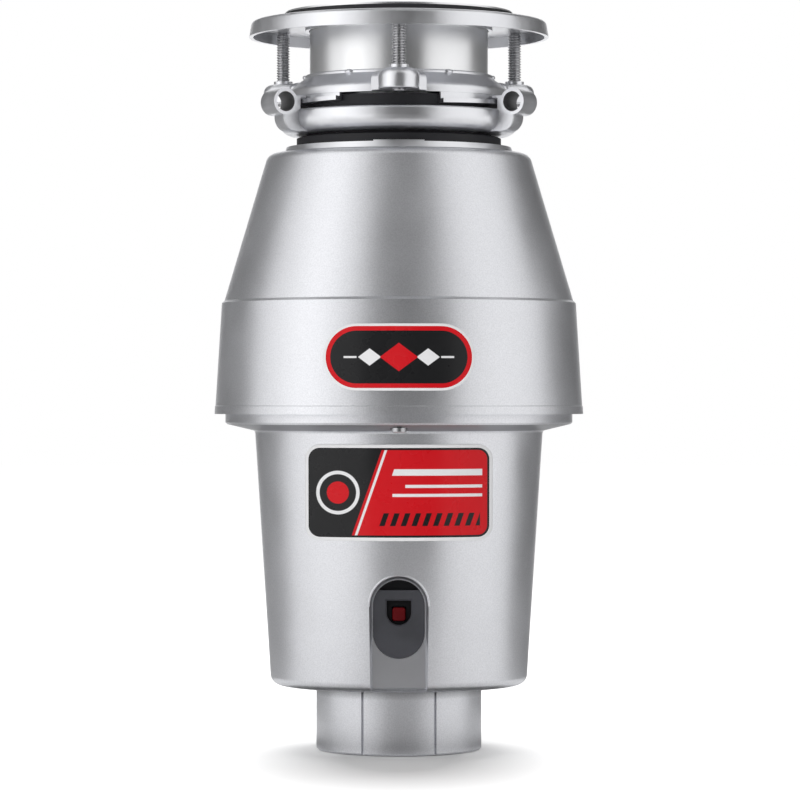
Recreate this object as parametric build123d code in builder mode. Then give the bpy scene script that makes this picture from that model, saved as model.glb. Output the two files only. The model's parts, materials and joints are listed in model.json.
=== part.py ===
from build123d import *
import os
from math import cos, radians, sin, tan

os.makedirs("parts", exist_ok=True)

# Millimetres and degrees. The origin is on the axis, on the surface under the foot.
# The front faces -Y. Angles round the axis are counted from the front towards +X.

# Clearances
seat_gap = 0.15          # round pieces seated in one another
part_gap = 0.4           # pieces that turn or slide past one another
journal_gap = 0.03       # shaft in its two bearings
screw_gap = 0.15         # screw shanks in their holes
face_gap = 0.3           # flat faces of pieces on different moving bodies

# Foot
foot_height = 31.2
foot_radius = 39.8
foot_wall = 3.0
foot_chamfer = 0.8
foot_pad_width = 33.0
foot_pad_rise = 1.0
foot_groove_width = 1.3
foot_groove_depth = 1.2
conduit_radius = 11.1
terminal_cover_wall = 3.6
terminal_grip_offset = 14.0
terminal_post_radius = 4.0
terminal_post_edge = 5.0
wire_hole_radius = 8.0
wire_hole_offset = 20.0

# Lower housing
shell_wall = 2.5
housing_bottom_radius = 61.6
housing_top_radius = 69.4
housing_wall_height = 122.2
housing_corner = 5.0
shoulder_rise = 3.2
shoulder_fillet = 1.5
collar_height = 4.9
collar_edge = 0.9
housing_screw_count = 3
housing_boss_radius = 4.5

# Reset recess in the front of the lower housing
recess_width = 25.0
recess_flare = 12.0
recess_back = 56.0
recess_top = 53.1
recess_floor = 1.8
panel_inset = 0.5
panel_bottom = 15.9
panel_height = 32.0
panel_lip = 2.0
panel_lip_wall = 1.5
window_width = 11.4
window_height = 11.4
window_bottom = 31.6
window_bevel = 0.7
button_width = 6.1
button_height = 6.3
button_length = 8.0
button_centre = 36.6
button_inset = 1.6
button_travel = 2.5
button_round = 0.6
button_guide_gap = 0.3
protector_width = 20.0
protector_height = 19.0
protector_depth = 10.0

# Upper cover
band_bottom_radius = 88.7
band_top_radius = 85.4
band_height = 53.3
band_lip_height = 3.8
band_lip_rise = 0.25
ledge_width = 1.3
ledge_rise = 1.2
cone_top_radius = 63.0
cone_height = 70.8
cone_corner = 5.0
cover_overhang = 5.0
cover_rib_width = 3.5
cover_rib_height = 2.5

# Drain chamber, under the turntable
chamber_floor_wall = 4.0
chamber_wall = 3.5
chamber_height = 43.5
flange_thickness = 4.0
flange_width = 8.5
flange_to_cover = 8.5
ring_ledge_width = 2.2
ring_ledge_drop = 5.0
hub_radius = 17.0
hub_rise = 26.5
outlet_bore_radius = 17.0
outlet_bore_stop = 4.0
outlet_wall = 3.5
outlet_projection = 9.3
outlet_floor_gap = 0.7
outlet_flange_thickness = 6.0
outlet_flange_rim = 5.0
outlet_screw_spacing = 54.0
outlet_screw_radius = 2.6
outlet_ear_radius = 7.0
outlet_cover_gap = 1.0

# Grind container
container_gasket_thickness = 1.0
container_wall = 2.8
container_straight = 34.0
neck_bore_radius = 40.0
neck_height = 10.0
container_screw_count = 6
inlet_radius = 11.0
inlet_bore_radius = 8.5
inlet_reach = 92.0
inlet_length = 14.0
inlet_shoulder = 2.0
inlet_height = 44.0
inlet_angle = 150.0
insulation_gap = 0.5
insulation_end = 9.0

# Shredder ring, turntable and impellers
shredder_wall = 3.0
shredder_height = 28.0
shredder_groove_count = 24
shredder_groove_width = 4.0
shredder_groove_depth = 1.6
shredder_groove_height = 11.0
turntable_gap = 0.8
turntable_thickness = 2.5
turntable_hub_radius = 14.0
turntable_hub_height = 6.5
turntable_hole_radius = 3.0
turntable_hole_count = 6
impeller_reach = 21.0
impeller_tail = 11.0
impeller_width = 14.0
impeller_height = 11.0
impeller_gap = 0.5
rivet_radius = 4.0
rivet_head_radius = 6.5
rivet_head_height = 2.0
nut_width = 17.0
nut_height = 6.0

# Motor
journal_radius = 6.35
rotor_seat_radius = 8.0
stub_radius = 5.5
stub_rise = 8.0
shaft_socket_width = 6.35
shaft_socket_depth = 8.0
bearing_wall = 3.6
bearing_length = 16.0
bearing_shoulder = 2.0
hub_drop = 14.5
seal_radius = 12.5
seal_height = 7.3
slinger_radius = 15.0
slinger_thickness = 3.0
washer_thickness = 1.5
washer_radius = 11.0
end_frame_rise = 32.5
end_frame_wall = 5.0
end_frame_vent = 5.0
end_frame_skirt = 25.0
end_frame_gap = 2.5
motor_skirt_wall = 2.5
motor_skirt_height = 21.5
bolt_edge = 4.5
motor_bolt_radius = 2.2
motor_bolt_count = 4
motor_bolt_boss_radius = 5.0
motor_bolt_boss_height = 11.0
stator_bolt_gap = 2.0
stator_depth = 18.5
stator_slot_count = 12
stator_slot_depth = 9.0
stator_slot_width = 6.0
stator_lip = 2.0
winding_overhang = 12.0
winding_gap = 0.3
air_gap = 0.5
end_ring_height = 6.0
end_ring_depth = 13.0
relay_width = 24.0
relay_depth = 16.0
relay_height = 17.0
relay_offset = 30.0
lead_radius = 1.4
lead_spacing = 4.5
lead_drop = 12.0

# Sink mount
tube_radius = 43.0
tube_wall = 1.2
mount_circle = 65.6
mount_count = 3
top_collar_height = 3.0
top_collar_radius = 55.4
top_collar_draft = 1.2
collar_tab_width = 24.0
collar_tab_rise = 0.6
cushion_foot_height = 4.7
cushion_foot_radius = 49.3
cushion_neck_radius = 44.5
cushion_bore_radius = 39.5
cushion_head_height = 10.0
ring_drop_gap = 1.0
lower_ring_height = 11.0
lower_ring_shelf = 6.8
lower_ring_round = 7.0
lower_ring_edge = 1.5
skirt_radius = 53.2
skirt_wall = 2.8
dome_drop = 6.0
dome_round = 4.0
bead_width = 2.0
bead_rise = 1.5
lip_thickness = 3.5
ramp_gap = 1.5
ramp_start = 22.0
ramp_end = 88.0
ramp_rise = 1.6
ramp_thickness = 2.0
ramp_web_inset = 0.5
ramp_width = 2.8
hook_angle = 60.0
hook_width = 10.0
hook_thickness = 1.5
arm_thickness = 3.5
ear_tube_radius = 6.3
ear_tube_bore = 4.75
ear_tube_length = 13.5
ear_tube_rise = 3.0
ear_root = 2.0
boss_radius = 9.6
boss_height = 9.7
boss_flare = 13.0
boss_round = 4.2
boss_foot_round = 0.8
boss_collar_radius = 4.6
boss_collar_height = 1.5
snap_wire_radius = 1.1
snap_groove_depth = 0.5
bolt_radius = 3.175
bolt_end = 1.0
bolt_slot_width = 1.2
bolt_slot_depth = 1.5
thread_gap = 0.1
clamp_span = 27.5
backup_height = 7.5
backup_wall = 2.5
backup_rim_gap = 1.5
backup_rim_wall = 2.0
backup_edge = 1.3
backup_hub_wall = 1.8
backup_hub_height = 4.5
gasket_thickness = 3.5
gasket_radius = 55.7
flange_lip_radius = 54.6
flange_lip_thickness = 1.0
flange_bend = 3.0
baffle_wall = 2.5
baffle_height = 11.0
baffle_hole_radius = 20.0
baffle_sink = 6.0
baffle_skin = 2.0
baffle_slit_count = 6
baffle_slit_width = 1.2
baffle_slit_end = 4.0

# Front plates
plate_thickness = 0.5
plate_gap = 0.25
badge_width = 70.0
badge_height = 31.0
badge_rise = 26.5
label_width = 88.0
label_height = 45.0
label_corner = 7.0
label_rise = 93.8
label_blank_margin = 2.0

# Small screws
screw_shank_radius = 2.0
screw_head_radius = 3.6
screw_head_height = 2.2


def between(height, low, low_radius, high, high_radius):
    """Radius at a height on a straight taper."""
    return low_radius + (high_radius - low_radius) * (height - low) / (high - low)


def section(*points, rounds=()):
    """Half section of a turned piece, as (radius, height) points with rounded corners."""
    with BuildSketch(Plane.XZ) as outline:
        with BuildLine():
            Polyline(*points, close=True)
        make_face()
        for corner, radius in rounds:
            fillet(outline.vertices().sort_by_distance(Vector(*corner))[0], radius=radius)
    return outline.sketch


def around(radius, angle):
    """Point on a circle round the axis, at an angle from the front."""
    return (radius * sin(radians(angle)), -radius * cos(radians(angle)))


def radial_plane(angle):
    """Upright plane through the axis: its x runs outwards at the angle, its y runs up."""
    outwards = Vector(*around(1, angle), 0)
    return Plane(origin=(0, 0, 0), x_dir=outwards, z_dir=outwards.cross(Vector(0, 0, 1)))


def outward_plane(angle, reach, height):
    """Upright plane facing outwards at the angle, at a distance from the axis."""
    outwards = Vector(*around(1, angle), 0)
    origin = outwards * reach + Vector(0, 0, height)
    return Plane(origin=origin, x_dir=Vector(0, 0, 1).cross(outwards), z_dir=outwards)


def ring_sector(plane, inner, outer, half_angle):
    """Part of a flat ring, centred on the plane's x axis."""
    tip_x = 2 * outer * cos(radians(half_angle))
    tip_y = 2 * outer * sin(radians(half_angle))
    with BuildSketch(plane) as sector:
        Circle(outer)
        Circle(inner, mode=Mode.SUBTRACT)
        with BuildLine():
            Polyline((0, 0), (tip_x, -tip_y), (tip_x, tip_y), close=True)
        make_face(mode=Mode.INTERSECT)
    return sector.sketch


def screw(shank_length, shank_radius=screw_shank_radius):
    """Pan screw pointing up, its head's seat at height zero."""
    with BuildPart() as blank:
        with BuildSketch():
            Circle(shank_radius)
        extrude(amount=shank_length)
        with BuildSketch():
            Circle(screw_head_radius)
        extrude(amount=-screw_head_height)
        fillet(blank.edges().group_by(Axis.Z)[0], radius=0.6)
        with BuildSketch(Plane.XY.offset(-screw_head_height)):
            Rectangle(1.0, 1.3 * screw_head_radius)
            Rectangle(1.3 * screw_head_radius, 1.0)
        extrude(amount=0.9, mode=Mode.SUBTRACT)
    return blank.part


# Heights, from the floor up
floor_z = foot_height
shoulder_z = floor_z + housing_wall_height
collar_z = shoulder_z + shoulder_rise
deck_z = collar_z + collar_height
ledge_z = deck_z + band_height
cone_z = ledge_z + ledge_rise
cover_top_z = cone_z + cone_height
neck_top_z = cover_top_z + top_collar_height
chamber_floor_z = deck_z + chamber_floor_wall
chamber_top_z = deck_z + chamber_height
ring_seat_z = chamber_top_z - ring_ledge_drop
container_z = chamber_top_z + container_gasket_thickness

# Radii that follow from the shells
collar_radius = band_bottom_radius - cover_overhang
cover_inner_radius = band_bottom_radius - shell_wall
cone_base_radius = band_top_radius - ledge_width
band_at_flange = between(chamber_top_z, deck_z, band_bottom_radius, ledge_z, band_top_radius)
chamber_flange_radius = band_at_flange - shell_wall - flange_to_cover
chamber_radius = chamber_flange_radius - flange_width
chamber_bore = chamber_radius - chamber_wall
neck_radius = neck_bore_radius + container_wall
screw_circle = (housing_top_radius + collar_radius - shell_wall) / 2
container_screw_circle = chamber_flange_radius - flange_width / 2

# Base foot: a cup, open below, with a raised pad between grooves at the front and at the back
foot_inner = foot_radius - foot_wall
groove_offset = (foot_pad_width + foot_groove_width) / 2
post_circle = foot_inner - terminal_post_edge
conduit_plane = outward_plane(180, foot_radius + foot_pad_rise, foot_height / 2)
cover_screw_z = screw_head_height + face_gap

with BuildPart() as base_foot:
    with BuildSketch():
        Circle(foot_radius)
    extrude(amount=foot_height)
    with BuildSketch():
        Circle(foot_radius + foot_pad_rise)
        Rectangle(foot_pad_width, 3 * foot_radius, mode=Mode.INTERSECT)
    extrude(amount=foot_height)
    chamfer(base_foot.edges().group_by(Axis.Z)[0], length=foot_chamfer)
    with BuildSketch():
        with Locations((groove_offset, 0), (-groove_offset, 0)):
            Rectangle(foot_groove_width, 3 * foot_radius)
        Circle(foot_radius - foot_groove_depth, mode=Mode.SUBTRACT)
    extrude(amount=foot_height, mode=Mode.SUBTRACT)
    with BuildSketch():
        Circle(foot_inner)
    extrude(amount=foot_height - foot_wall, mode=Mode.SUBTRACT)
    with BuildSketch(Plane.XY.offset(terminal_cover_wall)):
        with Locations((post_circle, 0), (-post_circle, 0)):
            Circle(terminal_post_radius)
    extrude(amount=foot_height - foot_wall - terminal_cover_wall)
    with BuildSketch(Plane.XY.offset(terminal_cover_wall)):
        with Locations((post_circle, 0), (-post_circle, 0)):
            Circle(screw_shank_radius + screw_gap)
    extrude(amount=foot_height - 2 * foot_wall - terminal_cover_wall, mode=Mode.SUBTRACT)
    with BuildSketch(Plane.XY.offset(foot_height)):
        with Locations((0, wire_hole_offset)):
            Circle(wire_hole_radius)
        with Locations((0, -wire_hole_offset)):
            Circle(screw_shank_radius + screw_gap)
    extrude(amount=-foot_wall, mode=Mode.SUBTRACT)
    with BuildSketch(conduit_plane.offset(foot_pad_rise)):
        Circle(conduit_radius)
    extrude(amount=-3 * foot_pad_rise - 2 * foot_wall, mode=Mode.SUBTRACT)
base_foot.part.label = "base_foot"
export_step(base_foot.part, "parts/base_foot.step")

# Terminal cover: the plate that closes the wiring space, flush with the foot's underside
with BuildPart() as terminal_cover:
    with BuildSketch():
        Circle(foot_inner - seat_gap)
        with Locations((post_circle, 0), (-post_circle, 0)):
            Circle(screw_shank_radius + screw_gap, mode=Mode.SUBTRACT)
    extrude(amount=terminal_cover_wall)
    with BuildSketch():
        with Locations((post_circle, 0), (-post_circle, 0)):
            Circle(screw_head_radius + part_gap)
    extrude(amount=cover_screw_z, mode=Mode.SUBTRACT)
    with BuildSketch():
        with Locations((0, terminal_grip_offset), (0, -terminal_grip_offset)):
            SlotOverall(foot_inner, terminal_cover_wall)
    extrude(amount=terminal_cover_wall / 2, mode=Mode.SUBTRACT)
terminal_cover.part.label = "terminal_cover"
export_step(terminal_cover.part, "parts/terminal_cover.step")

with BuildPart() as terminal_screws:
    with Locations((post_circle, 0, cover_screw_z), (-post_circle, 0, cover_screw_z)):
        add(screw(terminal_cover_wall + foot_wall))
terminal_screws.part.label = "terminal_screws"
export_step(terminal_screws.part, "parts/terminal_screws.step")

# Earth screw, up through the foot's top into the housing floor
with BuildPart() as ground_screw:
    with Locations((0, -wire_hole_offset, foot_height - foot_wall)):
        add(screw(foot_wall + shell_wall + 2))
ground_screw.part.label = "ground_screw"
export_step(ground_screw.part, "parts/ground_screw.step")

# Lower housing: a tapered shell with a flared collar and a recess for the reset panel
recess_arch_z = floor_z + recess_top - recess_width / 2
recess_floor_z = floor_z + recess_floor
panel_width = recess_width - 2 * panel_inset
panel_bottom_z = floor_z + panel_bottom
panel_top_z = panel_bottom_z + panel_height
panel_arch_z = floor_z + recess_top - panel_inset - panel_width / 2
panel_low_z = panel_bottom_z + panel_width / 2
screw_slope = shoulder_rise / (collar_radius - collar_edge - housing_top_radius)
screw_seat_z = shoulder_z + screw_slope * (screw_circle - housing_top_radius) + 0.5


def housing_radius(height):
    """Outer radius of the lower housing's tapered wall."""
    return between(height, floor_z, housing_bottom_radius, shoulder_z, housing_top_radius)


def recess_outline(width, bottom, arch):
    """Upright slot with a round top, drawn on the plane of the recess's back."""
    with BuildSketch(Plane.XZ.offset(recess_back)) as outline:
        with Locations((0, (bottom + arch) / 2)):
            Rectangle(width, arch - bottom)
        with Locations((0, arch)):
            Circle(width / 2)
    return outline.sketch


def panel_outline(margin):
    """Stadium of the reset panel's hole, wider by the margin all round."""
    with BuildSketch(Plane.XZ.offset(recess_back)) as outline:
        with Locations((0, (panel_low_z + panel_arch_z) / 2)):
            Rectangle(panel_width + 2 * margin, panel_arch_z - panel_low_z)
        with Locations((0, panel_arch_z), (0, panel_low_z)):
            Circle(panel_width / 2 + margin)
    return outline.sketch


with BuildPart() as housing_form:
    revolve(
        section(
            (0, floor_z),
            (housing_bottom_radius, floor_z),
            (housing_top_radius, shoulder_z),
            (collar_radius - collar_edge, collar_z),
            (collar_radius, collar_z + collar_edge),
            (collar_radius, deck_z),
            (0, deck_z),
            rounds=[
                ((housing_bottom_radius, floor_z), housing_corner),
                ((housing_top_radius, shoulder_z), shoulder_fillet),
            ],
        ),
        axis=Axis.Z,
    )

with BuildPart() as lower_housing:
    add(housing_form.part)
    revolve(
        section(
            (0, floor_z + shell_wall),
            (housing_radius(floor_z + shell_wall) - shell_wall, floor_z + shell_wall),
            (housing_top_radius - shell_wall, shoulder_z + shell_wall / 2),
            (collar_radius - shell_wall, collar_z + shell_wall),
            (collar_radius - shell_wall, deck_z + 1),
            (0, deck_z + 1),
        ),
        axis=Axis.Z,
        mode=Mode.SUBTRACT,
    )
    with BuildSketch(Plane.XY.offset(shoulder_z)):
        with PolarLocations(screw_circle, housing_screw_count, start_angle=-90):
            Circle(housing_boss_radius)
    extrude(amount=deck_z - shoulder_z)
    extrude(
        recess_outline(recess_width + 2 * shell_wall, floor_z, recess_arch_z),
        amount=-shell_wall,
    )
    extrude(
        recess_outline(recess_width + 3 * shell_wall, floor_z, recess_arch_z),
        amount=housing_top_radius - recess_back,
    )
    add(housing_form.part, mode=Mode.INTERSECT)
    extrude(
        recess_outline(recess_width, recess_floor_z, recess_arch_z),
        amount=housing_top_radius,
        taper=-recess_flare,
        mode=Mode.SUBTRACT,
    )
    extrude(panel_outline(seat_gap), amount=-2 * shell_wall, mode=Mode.SUBTRACT)
    with BuildSketch(Plane.XY.offset(screw_seat_z)):
        with PolarLocations(screw_circle, housing_screw_count, start_angle=-90):
            Circle(screw_head_radius + part_gap)
    extrude(amount=-shoulder_rise, mode=Mode.SUBTRACT)
    with BuildSketch(Plane.XY.offset(shoulder_z)):
        with PolarLocations(screw_circle, housing_screw_count, start_angle=-90):
            Circle(screw_shank_radius + screw_gap)
    extrude(amount=deck_z - shoulder_z, mode=Mode.SUBTRACT)
    with BuildSketch(Plane.XY.offset(floor_z)):
        with Locations((0, wire_hole_offset)):
            Circle(wire_hole_radius)
        with Locations((0, -wire_hole_offset)):
            Circle(screw_shank_radius + screw_gap)
    extrude(amount=shell_wall, mode=Mode.SUBTRACT)
lower_housing.part.label = "lower_housing"
export_step(lower_housing.part, "parts/lower_housing.step")

with BuildPart() as housing_screws:
    with PolarLocations(screw_circle, housing_screw_count, start_angle=-90):
        with Locations((0, 0, screw_seat_z)):
            add(screw(deck_z - screw_seat_z + chamber_floor_wall - 1))
housing_screws.part.label = "housing_screws"
export_step(housing_screws.part, "parts/housing_screws.step")

# Reset panel: a dark insert behind the recess, with a window for the button
window_bottom_z = floor_z + window_bottom
window_middle_z = window_bottom_z + window_width / 2
window_top_z = window_bottom_z + window_height
button_z = floor_z + button_centre
panel_back = recess_back - shell_wall - panel_lip_wall


def window_outline(plane_reach):
    """Window with a flat top and a round bottom."""
    with BuildSketch(Plane.XZ.offset(plane_reach)) as outline:
        with Locations((0, window_middle_z)):
            Circle(window_width / 2)
        with Locations((0, (window_middle_z + window_top_z) / 2)):
            Rectangle(window_width, window_top_z - window_middle_z)
    return outline.sketch


with BuildPart() as reset_panel:
    extrude(panel_outline(0), amount=-shell_wall)
    with BuildSketch(Plane.XZ.offset(recess_back)):
        with Locations((0, panel_top_z + panel_height / 2)):
            Rectangle(2 * panel_width, panel_height)
    extrude(amount=-shell_wall, mode=Mode.SUBTRACT)
    with BuildSketch(Plane.XZ.offset(recess_back - shell_wall)):
        add(panel_outline(panel_lip).moved(Location((0, shell_wall, 0))))
    extrude(amount=-panel_lip_wall)
    extrude(window_outline(recess_back), amount=-shell_wall - panel_lip_wall, mode=Mode.SUBTRACT)
    front = reset_panel.faces().sort_by(Axis.Y)[0]
    chamfer(front.inner_wires()[0].edges(), length=window_bevel)
reset_panel.part.label = "reset_panel"
export_step(reset_panel.part, "parts/reset_panel.step")

# Reset button, sliding in the overload protector behind the panel
button_front = recess_back - button_inset
with BuildPart() as reset_button:
    with BuildSketch(Plane.XZ.offset(button_front)):
        with Locations((0, button_z)):
            RectangleRounded(button_width, button_height, 2 * button_round)
    extrude(amount=-button_length)
    fillet(reset_button.faces().sort_by(Axis.Y)[0].edges(), radius=button_round)
reset_button.part.label = "reset_button"
export_step(reset_button.part, "parts/reset_button.step")

guide_depth = panel_back - (button_front - button_length - button_travel - part_gap)
with BuildPart() as overload_protector:
    with BuildSketch(Plane.XZ.offset(panel_back)):
        with Locations((0, button_z)):
            RectangleRounded(protector_width, protector_height, 2)
    extrude(amount=-protector_depth)
    with BuildSketch(Plane.XZ.offset(panel_back)):
        with Locations((0, button_z)):
            Rectangle(button_width + 2 * button_guide_gap, button_height + 2 * button_guide_gap)
    extrude(amount=-guide_depth, mode=Mode.SUBTRACT)
overload_protector.part.label = "overload_protector"
export_step(overload_protector.part, "parts/overload_protector.step")

# Motor heights and radii, from the housing floor up and from the housing wall in
end_frame_z = floor_z + end_frame_rise
end_frame_top_z = end_frame_z + end_frame_wall
stack_bottom_z = end_frame_top_z + end_frame_skirt
stack_top_z = deck_z - motor_skirt_height
end_frame_radius = housing_radius(end_frame_z) - shell_wall - end_frame_gap
motor_bolt_circle = end_frame_radius - bolt_edge
stator_radius = motor_bolt_circle - stator_bolt_gap - motor_bolt_radius
stator_bore = stator_radius - stator_depth
rotor_radius = stator_bore - air_gap
winding_radius = stator_radius - motor_skirt_wall - 2
bearing_radius = journal_radius + journal_gap + bearing_wall
lower_bearing_z = end_frame_z - 4
lower_bearing_top_z = lower_bearing_z + bearing_length
shaft_bottom_z = lower_bearing_z - 5
shaft_step_z = lower_bearing_top_z + face_gap + washer_thickness
upper_bearing_z = deck_z - hub_drop
hub_top_z = chamber_floor_z + hub_rise
seal_z = hub_top_z - seal_height
turntable_hub_z = ring_seat_z - 1
turntable_z = turntable_hub_z + turntable_hub_height
turntable_top_z = turntable_z + turntable_thickness
protector_clear = recess_width / 2 + 2 * shell_wall
protector_top_z = button_z + protector_height / 2 + 1.5
protector_back = panel_back - protector_depth - 1.5

with BuildPart() as lower_end_frame:
    with BuildSketch(Plane.XY.offset(end_frame_z)):
        Circle(end_frame_radius)
    extrude(amount=end_frame_wall)
    with BuildSketch(Plane.XY.offset(end_frame_top_z)):
        Circle(stator_radius)
        Circle(stator_radius - motor_skirt_wall, mode=Mode.SUBTRACT)
    extrude(amount=end_frame_skirt)
    with BuildSketch(Plane.XY.offset(lower_bearing_z - bearing_shoulder)):
        Circle(hub_radius)
    extrude(amount=bearing_length + bearing_shoulder)
    with BuildSketch(Plane.XY.offset(lower_bearing_z)):
        Circle(bearing_radius + seat_gap)
    extrude(amount=bearing_length, mode=Mode.SUBTRACT)
    with BuildSketch(Plane.XY.offset(lower_bearing_z)):
        Circle(journal_radius + 1)
    extrude(amount=-bearing_shoulder, mode=Mode.SUBTRACT)
    with BuildSketch(Plane.XY.offset(end_frame_z)):
        with PolarLocations(motor_bolt_circle, motor_bolt_count, start_angle=45):
            Circle(motor_bolt_radius + screw_gap)
    extrude(amount=end_frame_wall, mode=Mode.SUBTRACT)
    with BuildSketch(Plane.XZ.offset(protector_back)):
        with Locations((0, (end_frame_z + protector_top_z) / 2 - end_frame_wall)):
            Rectangle(2 * protector_clear, protector_top_z - end_frame_z + 2 * end_frame_wall)
    extrude(amount=end_frame_radius, mode=Mode.SUBTRACT)
    with BuildSketch(Plane.XY.offset(end_frame_top_z)):
        with PolarLocations((stator_radius + hub_radius) / 2, 6, start_angle=30):
            Circle(end_frame_vent)
    extrude(amount=-end_frame_wall, mode=Mode.SUBTRACT)
lower_end_frame.part.label = "lower_end_frame"
export_step(lower_end_frame.part, "parts/lower_end_frame.step")

with BuildPart() as lower_bearing:
    with BuildSketch(Plane.XY.offset(lower_bearing_z)):
        Circle(bearing_radius)
        Circle(journal_radius + journal_gap, mode=Mode.SUBTRACT)
    extrude(amount=bearing_length)
lower_bearing.part.label = "lower_bearing"
export_step(lower_bearing.part, "parts/lower_bearing.step")

with BuildPart() as upper_bearing:
    with BuildSketch(Plane.XY.offset(upper_bearing_z)):
        Circle(bearing_radius)
        Circle(journal_radius + journal_gap, mode=Mode.SUBTRACT)
    extrude(amount=bearing_length)
upper_bearing.part.label = "upper_bearing"
export_step(upper_bearing.part, "parts/upper_bearing.step")

with BuildPart() as thrust_washer:
    with BuildSketch(Plane.XY.offset(lower_bearing_top_z + face_gap)):
        Circle(washer_radius)
        Circle(journal_radius + seat_gap, mode=Mode.SUBTRACT)
    extrude(amount=washer_thickness)
thrust_washer.part.label = "thrust_washer"
export_step(thrust_washer.part, "parts/thrust_washer.step")

# Motor shaft, with a wrench socket below and a stub for the turntable above
with BuildPart() as motor_shaft:
    revolve(
        section(
            (0, shaft_bottom_z),
            (journal_radius, shaft_bottom_z),
            (journal_radius, shaft_step_z),
            (rotor_seat_radius, shaft_step_z),
            (rotor_seat_radius, upper_bearing_z - face_gap),
            (journal_radius, upper_bearing_z - face_gap),
            (journal_radius, turntable_hub_z),
            (stub_radius, turntable_hub_z),
            (stub_radius, turntable_top_z + stub_rise),
            (0, turntable_top_z + stub_rise),
        ),
        axis=Axis.Z,
    )
    with BuildSketch(Plane.XY.offset(shaft_bottom_z)):
        RegularPolygon(shaft_socket_width / 2, 6, major_radius=False)
    extrude(amount=shaft_socket_depth, mode=Mode.SUBTRACT)
motor_shaft.part.label = "motor_shaft"
export_step(motor_shaft.part, "parts/motor_shaft.step")

with BuildPart() as rotor_core:
    with BuildSketch(Plane.XY.offset(stack_bottom_z)):
        Circle(rotor_radius)
        Circle(rotor_seat_radius + seat_gap, mode=Mode.SUBTRACT)
    extrude(amount=stack_top_z - stack_bottom_z)
rotor_core.part.label = "rotor_core"
export_step(rotor_core.part, "parts/rotor_core.step")

# Rotor cage: the two cast end rings on the core's faces
with BuildPart() as rotor_cage:
    with BuildSketch(Plane.XY.offset(stack_top_z), Plane.XY.offset(stack_bottom_z - end_ring_height)):
        Circle(rotor_radius - 1)
        Circle(rotor_radius - end_ring_depth, mode=Mode.SUBTRACT)
    extrude(amount=end_ring_height)
rotor_cage.part.label = "rotor_cage"
export_step(rotor_cage.part, "parts/rotor_cage.step")

# Stator core with open slots, and the windings that fill them
slot_inner = stator_bore + stator_lip
slot_outer = slot_inner + stator_slot_depth
with BuildPart() as stator_core:
    with BuildSketch(Plane.XY.offset(stack_bottom_z)):
        Circle(stator_radius)
        Circle(stator_bore, mode=Mode.SUBTRACT)
        with PolarLocations((slot_inner + slot_outer) / 2, stator_slot_count):
            Rectangle(stator_slot_depth, stator_slot_width, mode=Mode.SUBTRACT)
    extrude(amount=stack_top_z - stack_bottom_z)
stator_core.part.label = "stator_core"
export_step(stator_core.part, "parts/stator_core.step")

with BuildPart() as stator_windings:
    with BuildSketch(Plane.XY.offset(stack_bottom_z - winding_overhang)):
        with PolarLocations((slot_inner + slot_outer) / 2, stator_slot_count):
            Rectangle(stator_slot_depth - 2 * winding_gap, stator_slot_width - 2 * winding_gap)
    extrude(amount=stack_top_z - stack_bottom_z + 2 * winding_overhang)
    with BuildSketch(
        Plane.XY.offset(stack_top_z + winding_gap),
        Plane.XY.offset(stack_bottom_z - winding_overhang),
    ):
        Circle(winding_radius)
        Circle(slot_inner, mode=Mode.SUBTRACT)
    extrude(amount=winding_overhang - winding_gap)
stator_windings.part.label = "stator_windings"
export_step(stator_windings.part, "parts/stator_windings.step")

# Long bolts that clamp the end frame and the stator up under the drain chamber
motor_bolt_top_z = deck_z - 1
with BuildPart() as through_bolts:
    with BuildSketch(Plane.XY.offset(end_frame_z)):
        with PolarLocations(motor_bolt_circle, motor_bolt_count, start_angle=45):
            Circle(motor_bolt_radius)
    extrude(amount=motor_bolt_top_z - end_frame_z)
    with BuildSketch(Plane.XY.offset(end_frame_z)):
        with PolarLocations(motor_bolt_circle, motor_bolt_count, start_angle=45):
            RegularPolygon(1.7 * motor_bolt_radius, 6)
    extrude(amount=-1.6 * motor_bolt_radius)
through_bolts.part.label = "through_bolts"
export_step(through_bolts.part, "parts/through_bolts.step")

# Start relay under the end frame, and its three leads down into the foot
with BuildPart() as start_relay:
    with BuildSketch(Plane.XY.offset(end_frame_z)):
        with Locations((0, relay_offset)):
            RectangleRounded(relay_width, relay_depth, 2)
    extrude(amount=-relay_height)
start_relay.part.label = "start_relay"
export_step(start_relay.part, "parts/start_relay.step")

lead_top_z = end_frame_z - relay_height
lead_y = max(wire_hole_offset, relay_offset - relay_depth / 2 + 2 * lead_radius)
with BuildPart() as lead_wires:
    with BuildSketch(Plane.XY.offset(lead_top_z)):
        with Locations((-lead_spacing, lead_y), (0, lead_y), (lead_spacing, lead_y)):
            Circle(lead_radius)
    extrude(amount=lead_drop - lead_top_z)
lead_wires.part.label = "lead_wires"
export_step(lead_wires.part, "parts/lead_wires.step")

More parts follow.
